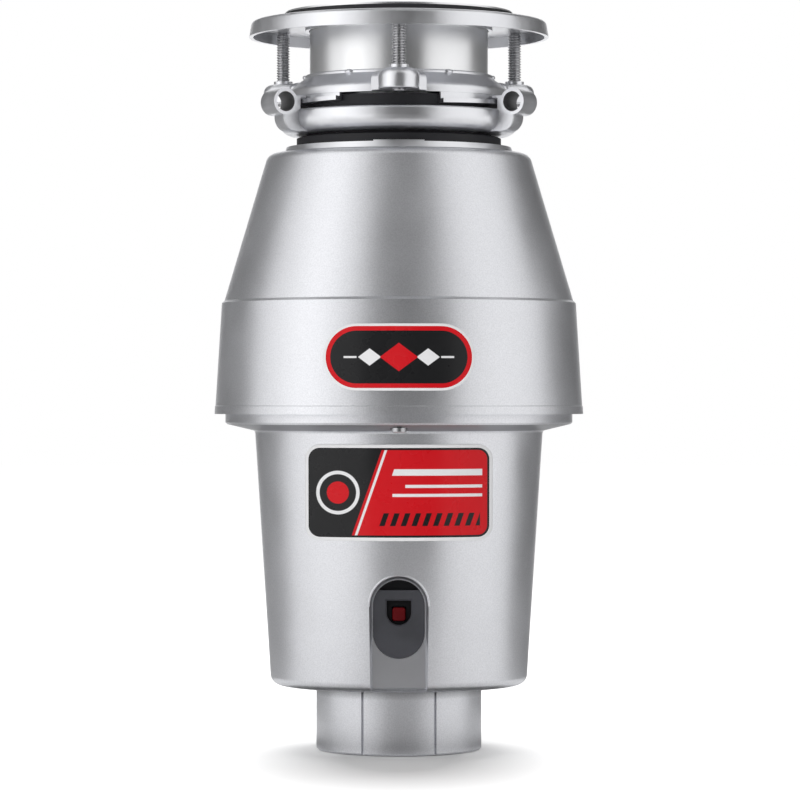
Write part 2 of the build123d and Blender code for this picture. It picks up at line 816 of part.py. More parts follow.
# Drain chamber: the casting that carries the upper bearing, the motor and the outlet
outlet_z = chamber_floor_z + outlet_floor_gap + outlet_bore_radius
outlet_radius = outlet_bore_radius + outlet_wall
outlet_reach = band_bottom_radius + outlet_projection
outlet_face = outward_plane(180, outlet_reach, outlet_z)
with BuildPart() as drain_chamber:
    revolve(
        section(
            (0, deck_z),
            (cover_inner_radius - seat_gap, deck_z),
            (cover_inner_radius - seat_gap - 0.3, chamber_floor_z),
            (chamber_radius, chamber_floor_z),
            (chamber_radius, chamber_top_z - flange_thickness),
            (chamber_flange_radius, chamber_top_z - flange_thickness),
            (chamber_flange_radius, chamber_top_z),
            (0, chamber_top_z),
        ),
        axis=Axis.Z,
    )
    with BuildSketch(outlet_face):
        Circle(outlet_radius)
    extrude(amount=chamber_radius - outlet_reach - chamber_wall / 2)
    with BuildSketch(outlet_face):
        Circle(outlet_radius + outlet_flange_rim)
        with Locations((outlet_screw_spacing / 2, 0), (-outlet_screw_spacing / 2, 0)):
            Circle(outlet_ear_radius)
        Rectangle(outlet_screw_spacing, 2 * outlet_ear_radius)
    extrude(amount=-outlet_flange_thickness)
    revolve(
        section(
            (0, chamber_floor_z),
            (chamber_bore - ring_ledge_width, chamber_floor_z),
            (chamber_bore - ring_ledge_width, ring_seat_z),
            (chamber_bore, ring_seat_z),
            (chamber_bore, chamber_top_z + 1),
            (0, chamber_top_z + 1),
        ),
        axis=Axis.Z,
        mode=Mode.SUBTRACT,
    )
    with BuildSketch(outlet_face):
        Circle(outlet_bore_radius)
    extrude(amount=hub_radius - outlet_reach + outlet_bore_stop, mode=Mode.SUBTRACT)
    with BuildSketch(outlet_face):
        with Locations((outlet_screw_spacing / 2, 0), (-outlet_screw_spacing / 2, 0)):
            Circle(outlet_screw_radius)
    extrude(amount=-outlet_flange_thickness, mode=Mode.SUBTRACT)
    with BuildSketch(Plane.XY.offset(upper_bearing_z)):
        Circle(hub_radius)
    extrude(amount=hub_top_z - upper_bearing_z)
    with BuildSketch(Plane.XY.offset(stack_top_z)):
        Circle(stator_radius)
        Circle(stator_radius - motor_skirt_wall, mode=Mode.SUBTRACT)
    extrude(amount=motor_skirt_height)
    with BuildSketch(Plane.XY.offset(deck_z - motor_bolt_boss_height)):
        with PolarLocations(motor_bolt_circle, motor_bolt_count, start_angle=45):
            Circle(motor_bolt_boss_radius)
    extrude(amount=motor_bolt_boss_height)
    with BuildSketch(Plane.XY.offset(stack_top_z)):
        with PolarLocations(motor_bolt_circle, motor_bolt_count, start_angle=45):
            Circle(motor_bolt_radius + screw_gap)
    extrude(amount=motor_skirt_height, mode=Mode.SUBTRACT)
    with BuildSketch(Plane.XY.offset(upper_bearing_z)):
        Circle(bearing_radius + seat_gap)
    extrude(amount=bearing_length, mode=Mode.SUBTRACT)
    with BuildSketch(Plane.XY.offset(upper_bearing_z)):
        Circle(journal_radius + 1)
    extrude(amount=hub_top_z - upper_bearing_z, mode=Mode.SUBTRACT)
    with BuildSketch(Plane.XY.offset(seal_z)):
        Circle(seal_radius + seat_gap)
    extrude(amount=seal_height, mode=Mode.SUBTRACT)
    with BuildSketch(Plane.XY.offset(deck_z)):
        with PolarLocations(screw_circle, housing_screw_count, start_angle=-90):
            Circle(screw_shank_radius + screw_gap)
    extrude(amount=chamber_floor_wall, mode=Mode.SUBTRACT)
    with BuildSketch(Plane.XY.offset(chamber_top_z)):
        with PolarLocations(container_screw_circle, container_screw_count, start_angle=0):
            Circle(screw_shank_radius + screw_gap)
    extrude(amount=-flange_thickness, mode=Mode.SUBTRACT)
drain_chamber.part.label = "drain_chamber"
export_step(drain_chamber.part, "parts/drain_chamber.step")

with BuildPart() as shaft_seal:
    with BuildSketch(Plane.XY.offset(seal_z)):
        Circle(seal_radius)
        Circle(journal_radius + 3 * journal_gap, mode=Mode.SUBTRACT)
    extrude(amount=seal_height - 0.5)
shaft_seal.part.label = "shaft_seal"
export_step(shaft_seal.part, "parts/shaft_seal.step")

# Slinger on the shaft, which throws water off above the seal
slinger_z = turntable_hub_z - face_gap - slinger_thickness
with BuildPart() as slinger:
    revolve(
        section(
            (journal_radius + seat_gap, slinger_z),
            (slinger_radius, slinger_z + slinger_thickness / 2),
            (slinger_radius, slinger_z + slinger_thickness),
            (journal_radius + seat_gap, slinger_z + slinger_thickness),
        ),
        axis=Axis.Z,
    )
slinger.part.label = "slinger"
export_step(slinger.part, "parts/slinger.step")

# Shredder ring, seated on the chamber's ledge, with grinding grooves inside
shredder_outer = chamber_bore - seat_gap
shredder_inner = shredder_outer - shredder_wall
turntable_radius = shredder_inner - turntable_gap
pivot_circle = shredder_inner - impeller_gap - impeller_reach
with BuildPart() as shredder_ring:
    with BuildSketch(Plane.XY.offset(ring_seat_z)):
        Circle(shredder_outer)
        Circle(shredder_inner, mode=Mode.SUBTRACT)
    extrude(amount=shredder_height)
    with BuildSketch(Plane.XY.offset(turntable_z - 1)):
        with PolarLocations(shredder_inner, shredder_groove_count):
            Rectangle(2 * shredder_groove_depth, shredder_groove_width)
    extrude(amount=shredder_groove_height, mode=Mode.SUBTRACT)
shredder_ring.part.label = "shredder_ring"
export_step(shredder_ring.part, "parts/shredder_ring.step")

with BuildPart() as turntable:
    with BuildSketch(Plane.XY.offset(turntable_z)):
        Circle(turntable_radius)
    extrude(amount=turntable_thickness)
    with BuildSketch(Plane.XY.offset(turntable_hub_z)):
        Circle(turntable_hub_radius)
    extrude(amount=turntable_hub_height)
    with BuildSketch(Plane.XY.offset(turntable_hub_z)):
        Circle(stub_radius + seat_gap)
        with Locations((pivot_circle, 0), (-pivot_circle, 0)):
            Circle(rivet_radius + screw_gap)
        with PolarLocations(pivot_circle + impeller_width / 2, turntable_hole_count, start_angle=30):
            Circle(turntable_hole_radius)
    extrude(amount=turntable_hub_height + turntable_thickness, mode=Mode.SUBTRACT)
turntable.part.label = "turntable"
export_step(turntable.part, "parts/turntable.step")

with BuildPart() as turntable_nut:
    with BuildSketch(Plane.XY.offset(turntable_top_z)):
        RegularPolygon(nut_width / 2, 6, major_radius=False)
        Circle(stub_radius + seat_gap, mode=Mode.SUBTRACT)
    extrude(amount=nut_height)
turntable_nut.part.label = "turntable_nut"
export_step(turntable_nut.part, "parts/turntable_nut.step")


# Impellers: swinging lugs, each free to turn right round on its rivet
def impeller_blank():
    """Lug with its pivot at the origin, its long end towards +Y and its flat at height zero."""
    half = impeller_width / 2
    with BuildPart() as blank:
        with BuildSketch():
            Circle(impeller_reach)
            with Locations((0, (impeller_reach - impeller_tail) / 2)):
                Rectangle(impeller_width, impeller_reach + impeller_tail, mode=Mode.INTERSECT)
        extrude(amount=impeller_height)
        with BuildSketch(Plane.YZ.offset(-half)):
            with BuildLine():
                Polyline(
                    (-impeller_tail, impeller_height),
                    (-impeller_tail, impeller_height / 2),
                    (0, impeller_height),
                    close=True,
                )
            make_face()
        extrude(amount=impeller_width, mode=Mode.SUBTRACT)
        with BuildSketch():
            Circle(rivet_radius + 2 * journal_gap)
        extrude(amount=impeller_height, mode=Mode.SUBTRACT)
    return blank.part


impeller_z = turntable_top_z + face_gap
with BuildPart() as impeller_1:
    with Locations((pivot_circle, 0, impeller_z)):
        add(impeller_blank())
impeller_1.part.label = "impeller_1"
export_step(impeller_1.part, "parts/impeller_1.step")

with BuildPart() as impeller_2:
    with Locations((-pivot_circle, 0, impeller_z)):
        add(impeller_blank(), rotation=(0, 0, 180))
impeller_2.part.label = "impeller_2"
export_step(impeller_2.part, "parts/impeller_2.step")

rivet_top_z = impeller_z + impeller_height + face_gap
with BuildPart() as impeller_rivets:
    with BuildSketch(Plane.XY.offset(turntable_z)):
        with Locations((pivot_circle, 0), (-pivot_circle, 0)):
            Circle(rivet_radius)
    extrude(amount=rivet_top_z - turntable_z)
    with BuildSketch(Plane.XY.offset(rivet_top_z)):
        with Locations((pivot_circle, 0), (-pivot_circle, 0)):
            Circle(rivet_head_radius)
    extrude(amount=rivet_head_height)
    with BuildSketch(Plane.XY.offset(turntable_z)):
        with Locations((pivot_circle, 0), (-pivot_circle, 0)):
            Circle(rivet_head_radius)
    extrude(amount=-rivet_head_height)
    fillet(impeller_rivets.edges().group_by(Axis.Z)[-1], radius=0.45 * rivet_head_height)
impeller_rivets.part.label = "impeller_rivets"
export_step(impeller_rivets.part, "parts/impeller_rivets.step")

# Grind container, its gasket and its flange screws
container_gasket_inner = chamber_bore + 0.3
with BuildPart() as container_gasket:
    with BuildSketch(Plane.XY.offset(chamber_top_z)):
        Circle(chamber_flange_radius)
        Circle(container_gasket_inner, mode=Mode.SUBTRACT)
        with PolarLocations(container_screw_circle, container_screw_count, start_angle=0):
            Circle(screw_shank_radius + screw_gap, mode=Mode.SUBTRACT)
    extrude(amount=container_gasket_thickness)
container_gasket.part.label = "container_gasket"
export_step(container_gasket.part, "parts/container_gasket.step")

container_flange_z = container_z + flange_thickness
container_radius = chamber_bore + container_wall
container_bend_z = container_z + container_straight
bend_round = 2.5 * container_wall
neck_round = 1.5 * container_wall
neck_z = neck_top_z - neck_height
inlet_z = container_z + inlet_height
with BuildPart() as grind_container:
    revolve(
        section(
            (0, container_z),
            (chamber_flange_radius, container_z),
            (chamber_flange_radius, container_flange_z),
            (container_radius, container_flange_z),
            (container_radius, container_bend_z),
            (neck_radius, neck_z),
            (neck_radius, neck_top_z),
            (0, neck_top_z),
            rounds=[((container_radius, container_bend_z), bend_round), ((neck_radius, neck_z), neck_round)],
        ),
        axis=Axis.Z,
    )
    with BuildSketch(outward_plane(inlet_angle, inlet_reach, inlet_z)):
        Circle(inlet_radius)
    extrude(amount=-inlet_length)
    with BuildSketch(outward_plane(inlet_angle, inlet_reach - inlet_length, inlet_z)):
        Circle(inlet_radius + inlet_shoulder)
    extrude(amount=neck_bore_radius - inlet_reach + inlet_length)
    revolve(
        section(
            (0, container_z - 1),
            (chamber_bore, container_z - 1),
            (chamber_bore, container_bend_z - container_wall / 2),
            (neck_bore_radius, neck_z - container_wall / 2),
            (neck_bore_radius, neck_top_z + 1),
            (0, neck_top_z + 1),
            rounds=[((chamber_bore, container_bend_z - container_wall / 2), 5)],
        ),
        axis=Axis.Z,
        mode=Mode.SUBTRACT,
    )
    with BuildSketch(outward_plane(inlet_angle, inlet_reach, inlet_z)):
        Circle(inlet_bore_radius)
    extrude(amount=container_radius + 2 - inlet_reach, mode=Mode.SUBTRACT)
    with BuildSketch(Plane.XY.offset(container_z)):
        with PolarLocations(container_screw_circle, container_screw_count, start_angle=0):
            Circle(screw_shank_radius + screw_gap)
    extrude(amount=flange_thickness, mode=Mode.SUBTRACT)
grind_container.part.label = "grind_container"
export_step(grind_container.part, "parts/grind_container.step")

with BuildPart() as container_screws:
    with PolarLocations(container_screw_circle, container_screw_count, start_angle=0):
        with Locations((0, 0, container_flange_z)):
            add(screw(2 * flange_thickness + container_gasket_thickness - 0.5), rotation=(180, 0, 0))
container_screws.part.label = "container_screws"
export_step(container_screws.part, "parts/container_screws.step")


def band_radius(height):
    """Outer radius of the cover's lower band."""
    return between(height, deck_z, band_bottom_radius, ledge_z, band_top_radius)


def cone_radius(height):
    """Outer radius of the cover's cone."""
    return between(height, cone_z, cone_base_radius, cover_top_z, cone_top_radius)


def container_outside(height):
    """Outer radius of the container's cone."""
    return between(height, container_bend_z, container_radius, neck_z, neck_radius)


# Sound insulation between the container and the cover
foam_bottom_z = container_flange_z + insulation_end
foam_top_z = cover_top_z - insulation_end
foam_skin = shell_wall + insulation_gap
with BuildPart() as sound_insulation:
    revolve(
        section(
            (container_radius + insulation_gap, foam_bottom_z),
            (cone_radius(foam_bottom_z) - 1.2 * foam_skin, foam_bottom_z),
            (cone_radius(foam_top_z) - 1.2 * foam_skin, foam_top_z),
            (container_outside(foam_top_z) + 2 * insulation_gap, foam_top_z),
            (container_radius + insulation_gap, container_bend_z + insulation_gap),
        ),
        axis=Axis.Z,
    )
    with BuildSketch(outward_plane(inlet_angle, inlet_reach, inlet_z)):
        Circle(inlet_radius + inlet_shoulder + insulation_gap)
    extrude(amount=-inlet_reach, mode=Mode.SUBTRACT)
sound_insulation.part.label = "sound_insulation"
export_step(sound_insulation.part, "parts/sound_insulation.step")

# Upper cover: band, ledge and cone in one shell, slotted at the back for the outlet
lip_top_z = deck_z + band_lip_height + band_lip_rise
with BuildPart() as upper_cover:
    revolve(
        section(
            (0, deck_z),
            (band_bottom_radius + band_lip_rise, deck_z),
            (band_radius(deck_z + band_lip_height) + band_lip_rise, deck_z + band_lip_height),
            (band_radius(lip_top_z), lip_top_z),
            (band_top_radius, ledge_z),
            (cone_base_radius, cone_z),
            (cone_top_radius, cover_top_z),
            (0, cover_top_z),
            rounds=[((cone_top_radius, cover_top_z), cone_corner)],
        ),
        axis=Axis.Z,
    )
    revolve(
        section(
            (0, deck_z - 1),
            (cover_inner_radius, deck_z - 1),
            (cover_inner_radius, deck_z),
            (band_radius(chamber_floor_z) - shell_wall, chamber_floor_z),
            (band_radius(chamber_floor_z) - shell_wall - cover_rib_width, chamber_floor_z),
            (band_radius(chamber_floor_z) - shell_wall - cover_rib_width, chamber_floor_z + cover_rib_height),
            (
                band_radius(chamber_floor_z + cover_rib_height) - shell_wall,
                chamber_floor_z + cover_rib_height,
            ),
            (cone_radius(cone_z) - shell_wall, ledge_z),
            (cone_radius(cover_top_z - shell_wall) - shell_wall, cover_top_z - shell_wall),
            (0, cover_top_z - shell_wall),
            rounds=[
                (
                    (cone_radius(cover_top_z - shell_wall) - shell_wall, cover_top_z - shell_wall),
                    cone_corner - shell_wall / 2,
                )
            ],
        ),
        axis=Axis.Z,
        mode=Mode.SUBTRACT,
    )
    with BuildSketch(Plane.XY.offset(cover_top_z)):
        Circle(neck_radius + seat_gap)
    extrude(amount=-2 * shell_wall, mode=Mode.SUBTRACT)
    with BuildSketch(outlet_face):
        Circle(outlet_radius + outlet_cover_gap)
        with Locations((0, (deck_z - outlet_z) / 2)):
            Rectangle(2 * (outlet_radius + outlet_cover_gap), outlet_z - deck_z)
    extrude(amount=chamber_radius - outlet_reach, mode=Mode.SUBTRACT)
    with BuildSketch(outward_plane(inlet_angle, inlet_reach, inlet_z)):
        Circle(inlet_radius + inlet_shoulder + outlet_cover_gap)
    extrude(amount=container_radius - inlet_reach, mode=Mode.SUBTRACT)
upper_cover.part.label = "upper_cover"
export_step(upper_cover.part, "parts/upper_cover.step")

# Badge on the band and label on the lower housing: thin curved plates
badge_z = deck_z + badge_rise
badge_low_z = badge_z - badge_height / 2
badge_high_z = badge_z + badge_height / 2
with BuildPart() as front_badge:
    revolve(
        section(
            (band_radius(badge_low_z) + plate_gap, badge_low_z),
            (band_radius(badge_low_z) + plate_gap + plate_thickness, badge_low_z),
            (band_radius(badge_high_z) + plate_gap + plate_thickness, badge_high_z),
            (band_radius(badge_high_z) + plate_gap, badge_high_z),
        ),
        axis=Axis.Z,
    )
    with BuildSketch(Plane.XZ.offset(badge_width / 2)):
        with Locations((0, badge_z)):
            SlotOverall(badge_width, badge_height)
    extrude(amount=band_bottom_radius, mode=Mode.INTERSECT)
front_badge.part.label = "front_badge"
export_step(front_badge.part, "parts/front_badge.step")

label_z = floor_z + label_rise
label_low_z = label_z - label_height / 2 - label_blank_margin
label_high_z = label_z + label_height / 2 + label_blank_margin
with BuildPart() as front_label:
    revolve(
        section(
            (housing_radius(label_low_z) + plate_gap, label_low_z),
            (housing_radius(label_low_z) + plate_gap + plate_thickness, label_low_z),
            (housing_radius(label_high_z) + plate_gap + plate_thickness, label_high_z),
            (housing_radius(label_high_z) + plate_gap, label_high_z),
        ),
        axis=Axis.Z,
    )
    with BuildSketch(Plane.XZ.offset(label_height / 2)):
        with Locations((0, label_z)):
            RectangleRounded(label_width, label_height, label_corner)
    extrude(amount=housing_top_radius, mode=Mode.INTERSECT)
front_label.part.label = "front_label"
export_step(front_label.part, "parts/front_label.step")

# Top collar, clamping the cover and the cushion round the container's neck
with BuildPart() as top_collar:
    revolve(
        section(
            (neck_radius + seat_gap, cover_top_z),
            (top_collar_radius, cover_top_z),
            (top_collar_radius - top_collar_draft, neck_top_z),
            (neck_radius + seat_gap, neck_top_z),
        ),
        axis=Axis.Z,
    )
    with BuildSketch(Plane.XY.offset(neck_top_z)):
        Circle(top_collar_radius - top_collar_draft)
        Circle(cushion_foot_radius + part_gap, mode=Mode.SUBTRACT)
        with Locations((0, -top_collar_radius)):
            Rectangle(collar_tab_width, top_collar_radius, mode=Mode.INTERSECT)
    extrude(amount=collar_tab_rise)
top_collar.part.label = "top_collar"
export_step(top_collar.part, "parts/top_collar.step")

# Heights of the sink mount, from the container's neck up
cushion_foot_z = neck_top_z + cushion_foot_height
lower_ring_z = cushion_foot_z + ring_drop_gap
lower_ring_top_z = lower_ring_z + lower_ring_height
shelf_z = lower_ring_z + lower_ring_shelf
cushion_head_z = shelf_z + face_gap
cushion_top_z = cushion_head_z + cushion_head_height
ramp_half = (ramp_end - ramp_start) / 2
ramp_middle = (ramp_end + ramp_start) / 2
ramp_radius = skirt_radius + ramp_width
ramp_slope = ramp_rise / (2 * ramp_radius * sin(radians(ramp_half)))
ramp_z = lower_ring_top_z + ramp_gap + ramp_rise / 2
hook_reach = hook_angle - ramp_middle + 6
hook_z = ramp_z + ramp_thickness + ramp_radius * sin(radians(hook_reach)) * ramp_slope + face_gap
boss_z = hook_z + hook_thickness + part_gap
boss_top_z = boss_z + boss_height
bead_z = boss_top_z + bead_rise
lip_z = bead_z - bead_rise - lip_thickness
backup_top_z = boss_top_z + clamp_span
backup_z = backup_top_z - backup_height
gasket_top_z = backup_top_z + gasket_thickness
sink_top_z = gasket_top_z + flange_lip_thickness

# Radii of the sink mount, from the sink flange's tube out
ring_bore = tube_radius + part_gap
skirt_inner = skirt_radius - skirt_wall
cushion_head_radius = skirt_inner - part_gap
arm_inner = ramp_radius + part_gap
arm_outer = arm_inner + arm_thickness
lower_ring_radius = arm_outer - 2
backup_radius = mount_circle + bolt_radius + backup_rim_gap + backup_rim_wall

# Rubber cushion that hangs the disposer from the mount
with BuildPart() as cushion_mount:
    revolve(
        section(
            (cushion_bore_radius, neck_top_z),
            (cushion_foot_radius, neck_top_z),
            (cushion_foot_radius, cushion_foot_z - 0.5),
            (cushion_foot_radius - 1, cushion_foot_z),
            (cushion_neck_radius, cushion_foot_z),
            (cushion_neck_radius, cushion_head_z),
            (cushion_head_radius, cushion_head_z),
            (cushion_head_radius, cushion_top_z),
            (cushion_bore_radius, cushion_top_z),
        ),
        axis=Axis.Z,
    )
cushion_mount.part.label = "cushion_mount"
export_step(cushion_mount.part, "parts/cushion_mount.step")

# One lever ear of the lower ring: the hook over a ramp, its arm and the lever tube
ear_tube_z = lower_ring_top_z + ear_tube_rise
with BuildPart() as ear_blank:
    with BuildSketch(radial_plane(hook_angle)) as arm:
        with BuildLine():
            Polyline(
                (lower_ring_radius - lower_ring_round, lower_ring_z),
                (mount_circle, lower_ring_z),
                (mount_circle, lower_ring_top_z),
                (arm_outer, lower_ring_top_z),
                (arm_outer, hook_z + hook_thickness),
                (skirt_radius + part_gap, hook_z + hook_thickness),
                (skirt_radius + part_gap, hook_z),
                (arm_inner, hook_z),
                (arm_inner, lower_ring_top_z - ear_root),
                (lower_ring_radius - lower_ring_round, lower_ring_top_z - ear_root),
                close=True,
            )
        make_face()
        low_corner = Vector(mount_circle, lower_ring_z)
        fillet(arm.vertices().sort_by_distance(low_corner)[0], radius=lower_ring_round)
    extrude(amount=hook_width / 2, both=True)
    fillet(ear_blank.edges(), radius=hook_thickness / 3)
    with BuildSketch(radial_plane(hook_angle)):
        with Locations((mount_circle, ear_tube_z)):
            Circle(ear_tube_radius)
    extrude(amount=ear_tube_length / 2, both=True)
    with BuildSketch(radial_plane(hook_angle)):
        with Locations((mount_circle, ear_tube_z)):
            Circle(ear_tube_bore)
    extrude(amount=ear_tube_length, both=True, mode=Mode.SUBTRACT)

# Lower mounting ring: turns on the cushion, three hooks over the ramps, three lever ears
with BuildPart() as lower_mounting_ring:
    revolve(
        section(
            (cushion_neck_radius + part_gap, lower_ring_z),
            (lower_ring_radius, lower_ring_z),
            (lower_ring_radius, lower_ring_top_z),
            (cushion_head_radius + part_gap, lower_ring_top_z),
            (cushion_head_radius + part_gap, shelf_z),
            (cushion_neck_radius + part_gap, shelf_z),
            rounds=[
                ((lower_ring_radius, lower_ring_z), lower_ring_round),
                ((lower_ring_radius, lower_ring_top_z), lower_ring_edge),
            ],
        ),
        axis=Axis.Z,
    )
    for turn in range(mount_count):
        add(ear_blank.part, rotation=(0, 0, 360 / mount_count * turn))
lower_mounting_ring.part.label = "lower_mounting_ring"
export_step(lower_mounting_ring.part, "parts/lower_mounting_ring.step")

# One bolt boss of the upper ring, flared where it meets the skirt
with BuildPart() as boss_blank:
    with BuildSketch(Plane(origin=(0, 0, boss_z), x_dir=(0, -1, 0), z_dir=(0, 0, 1))) as boss:
        with BuildLine():
            Polyline(
                (ring_bore + bead_width, -boss_flare),
                (skirt_radius, -boss_flare),
                (skirt_radius + boss_flare - boss_radius, -boss_radius),
                (mount_circle, -boss_radius),
                (mount_circle, boss_radius),
                (skirt_radius + boss_flare - boss_radius, boss_radius),
                (skirt_radius, boss_flare),
                (ring_bore + bead_width, boss_flare),
                close=True,
            )
        make_face()
        with Locations((mount_circle, 0)):
            Circle(boss_radius)
    extrude(amount=boss_height)
    fillet(boss_blank.faces().sort_by(Axis.Z)[-1].edges(), radius=boss_round)
    fillet(boss_blank.faces().sort_by(Axis.Z)[0].edges(), radius=boss_foot_round)

# Upper mounting ring: domed skirt, three bolt bosses and three ramps for the hooks
ramp_root = skirt_inner - ramp_rise
with BuildPart() as upper_mounting_ring:
    revolve(
        section(
            (0, boss_z),
            (skirt_radius, boss_z),
            (skirt_radius, boss_top_z - dome_drop),
            (ring_bore + bead_width, boss_top_z),
            (ring_bore + bead_width, bead_z),
            (0, bead_z),
            rounds=[
                ((skirt_radius, boss_top_z - dome_drop), dome_round),
                ((ring_bore + bead_width, bead_z), bead_width / 3),
            ],
        ),
        axis=Axis.Z,
    )
    for turn in range(mount_count):
        boss_angle = 360 / mount_count * turn
        add(boss_blank.part, rotation=(0, 0, boss_angle))
        ramp_angle = radians(ramp_middle + boss_angle)
        along = Vector(cos(ramp_angle), sin(ramp_angle), 0)
        ramp_plane = Plane(
            origin=(0, 0, ramp_z),
            x_dir=Vector(sin(ramp_angle), -cos(ramp_angle), 0),
            z_dir=Vector(0, 0, 1) - along * ramp_slope,
        )
        extrude(ring_sector(ramp_plane, ramp_root, ramp_radius, ramp_half), amount=ramp_thickness)
        extrude(
            ring_sector(ramp_plane, ramp_root, skirt_radius - ramp_web_inset, ramp_half),
            amount=boss_z - ramp_z + ramp_rise,
        )
    revolve(
        section(
            (0, ramp_z - 2 * ramp_rise),
            (skirt_inner, ramp_z - 2 * ramp_rise),
            (skirt_inner, boss_top_z - dome_drop - 1),
            (ring_bore + bead_width, lip_z),
            (ring_bore, lip_z),
            (ring_bore, bead_z + 1),
            (0, bead_z + 1),
        ),
        axis=Axis.Z,
        mode=Mode.SUBTRACT,
    )
    with BuildSketch(Plane.XY.offset(boss_top_z)):
        with PolarLocations(mount_circle, mount_count, start_angle=-90):
            Circle(boss_collar_radius)
    extrude(amount=boss_collar_height)
    with BuildSketch(Plane.XY.offset(boss_z)):
        with PolarLocations(mount_circle, mount_count, start_angle=-90):
            Circle(bolt_radius + thread_gap)
    extrude(amount=boss_height + boss_collar_height, mode=Mode.SUBTRACT)
upper_mounting_ring.part.label = "upper_mounting_ring"
export_step(upper_mounting_ring.part, "parts/upper_mounting_ring.step")

# Snap ring: a split wire in the tube's groove, under the upper ring's lip
snap_z = lip_z - snap_wire_radius
snap_radius = tube_radius - snap_groove_depth + snap_wire_radius
with BuildPart() as snap_ring:
    with BuildSketch(Plane.XZ):
        with Locations((snap_radius, snap_z)):
            Circle(snap_wire_radius)
    revolve(axis=Axis.Z, revolution_arc=345)
snap_ring.part.label = "snap_ring"
export_step(snap_ring.part, "parts/snap_ring.step")

# Backup flange: an inverted dish that the bolts press up under the sink
with BuildPart() as backup_flange:
    revolve(
        section(
            (ring_bore, backup_top_z - backup_hub_height),
            (ring_bore, backup_top_z),
            (backup_radius - backup_edge, backup_top_z),
            (backup_radius, backup_z),
            (backup_radius - backup_rim_wall, backup_z),
            (backup_radius - backup_rim_wall, backup_top_z - backup_wall),
            (ring_bore + backup_hub_wall, backup_top_z - backup_wall),
            (ring_bore + backup_hub_wall, backup_top_z - backup_hub_height),
            rounds=[((backup_radius - backup_edge, backup_top_z), 2)],
        ),
        axis=Axis.Z,
    )
backup_flange.part.label = "backup_flange"
export_step(backup_flange.part, "parts/backup_flange.step")

# Sink gasket on the backup flange
with BuildPart() as sink_gasket:
    with BuildSketch(Plane.XY.offset(backup_top_z)):
        Circle(gasket_radius)
        Circle(tube_radius + flange_bend + part_gap, mode=Mode.SUBTRACT)
    extrude(amount=gasket_thickness)
sink_gasket.part.label = "sink_gasket"
export_step(sink_gasket.part, "parts/sink_gasket.step")

# Sink flange: the tube through the sink's outlet and its turned-over lip
tube_bore = tube_radius - tube_wall
with BuildPart() as sink_flange:
    revolve(
        section(
            (tube_bore, cushion_top_z),
            (tube_radius, cushion_top_z),
            (tube_radius, gasket_top_z),
            (flange_lip_radius, gasket_top_z),
            (flange_lip_radius, sink_top_z),
            (tube_bore, sink_top_z),
            rounds=[
                ((tube_radius, gasket_top_z), flange_bend),
                ((tube_bore, sink_top_z), flange_bend + flange_lip_thickness),
            ],
        ),
        axis=Axis.Z,
    )
    with BuildSketch(Plane.XZ):
        with Locations((snap_radius, snap_z)):
            Circle(snap_wire_radius + seat_gap / 3)
    revolve(axis=Axis.Z, mode=Mode.SUBTRACT)
sink_flange.part.label = "sink_flange"
export_step(sink_flange.part, "parts/sink_flange.step")

# Splash baffle: a lift-out rubber ring with a slit funnel, resting on the cushion
baffle_z = cushion_top_z + face_gap
baffle_top_z = baffle_z + baffle_height
baffle_radius = tube_bore - part_gap
with BuildPart() as splash_baffle:
    revolve(
        section(
            (baffle_radius - baffle_wall, baffle_z),
            (baffle_radius, baffle_z),
            (baffle_radius, baffle_top_z),
            (baffle_radius - baffle_wall, baffle_top_z),
            (baffle_hole_radius, baffle_top_z - baffle_sink),
            (baffle_hole_radius, baffle_top_z - baffle_sink - baffle_skin),
            (baffle_radius - baffle_wall, baffle_top_z - baffle_skin),
        ),
        axis=Axis.Z,
    )
    with BuildSketch(Plane.XY.offset(baffle_z)):
        with PolarLocations((baffle_radius - baffle_wall - baffle_slit_end) / 2, baffle_slit_count):
            Rectangle(baffle_radius - baffle_wall - baffle_slit_end, baffle_slit_width)
    extrude(amount=baffle_height, mode=Mode.SUBTRACT)
splash_baffle.part.label = "splash_baffle"
export_step(splash_baffle.part, "parts/splash_baffle.step")

# Mounting bolts: slotted below, pressing up on the backup flange
bolt_bottom_z = boss_z - bolt_end
bolt_top_z = backup_top_z - backup_wall - face_gap
for turn in range(mount_count):
    bolt_angle = 360 / mount_count * turn
    bolt_plane = Plane(origin=(*around(mount_circle, bolt_angle), bolt_bottom_z))
    with BuildPart() as mounting_bolt:
        with BuildSketch(bolt_plane):
            Circle(bolt_radius)
        extrude(amount=bolt_top_z - bolt_bottom_z)
        chamfer(mounting_bolt.edges().filter_by(GeomType.CIRCLE), length=0.4)
        with BuildSketch(bolt_plane):
            Rectangle(bolt_slot_width, 3 * bolt_radius)
        extrude(amount=bolt_slot_depth, mode=Mode.SUBTRACT)
    bolt_name = "mounting_bolt_" + str(turn + 1)
    mounting_bolt.part.label = bolt_name
    export_step(mounting_bolt.part, "parts/" + bolt_name + ".step")
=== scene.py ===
import json
from math import pi, radians

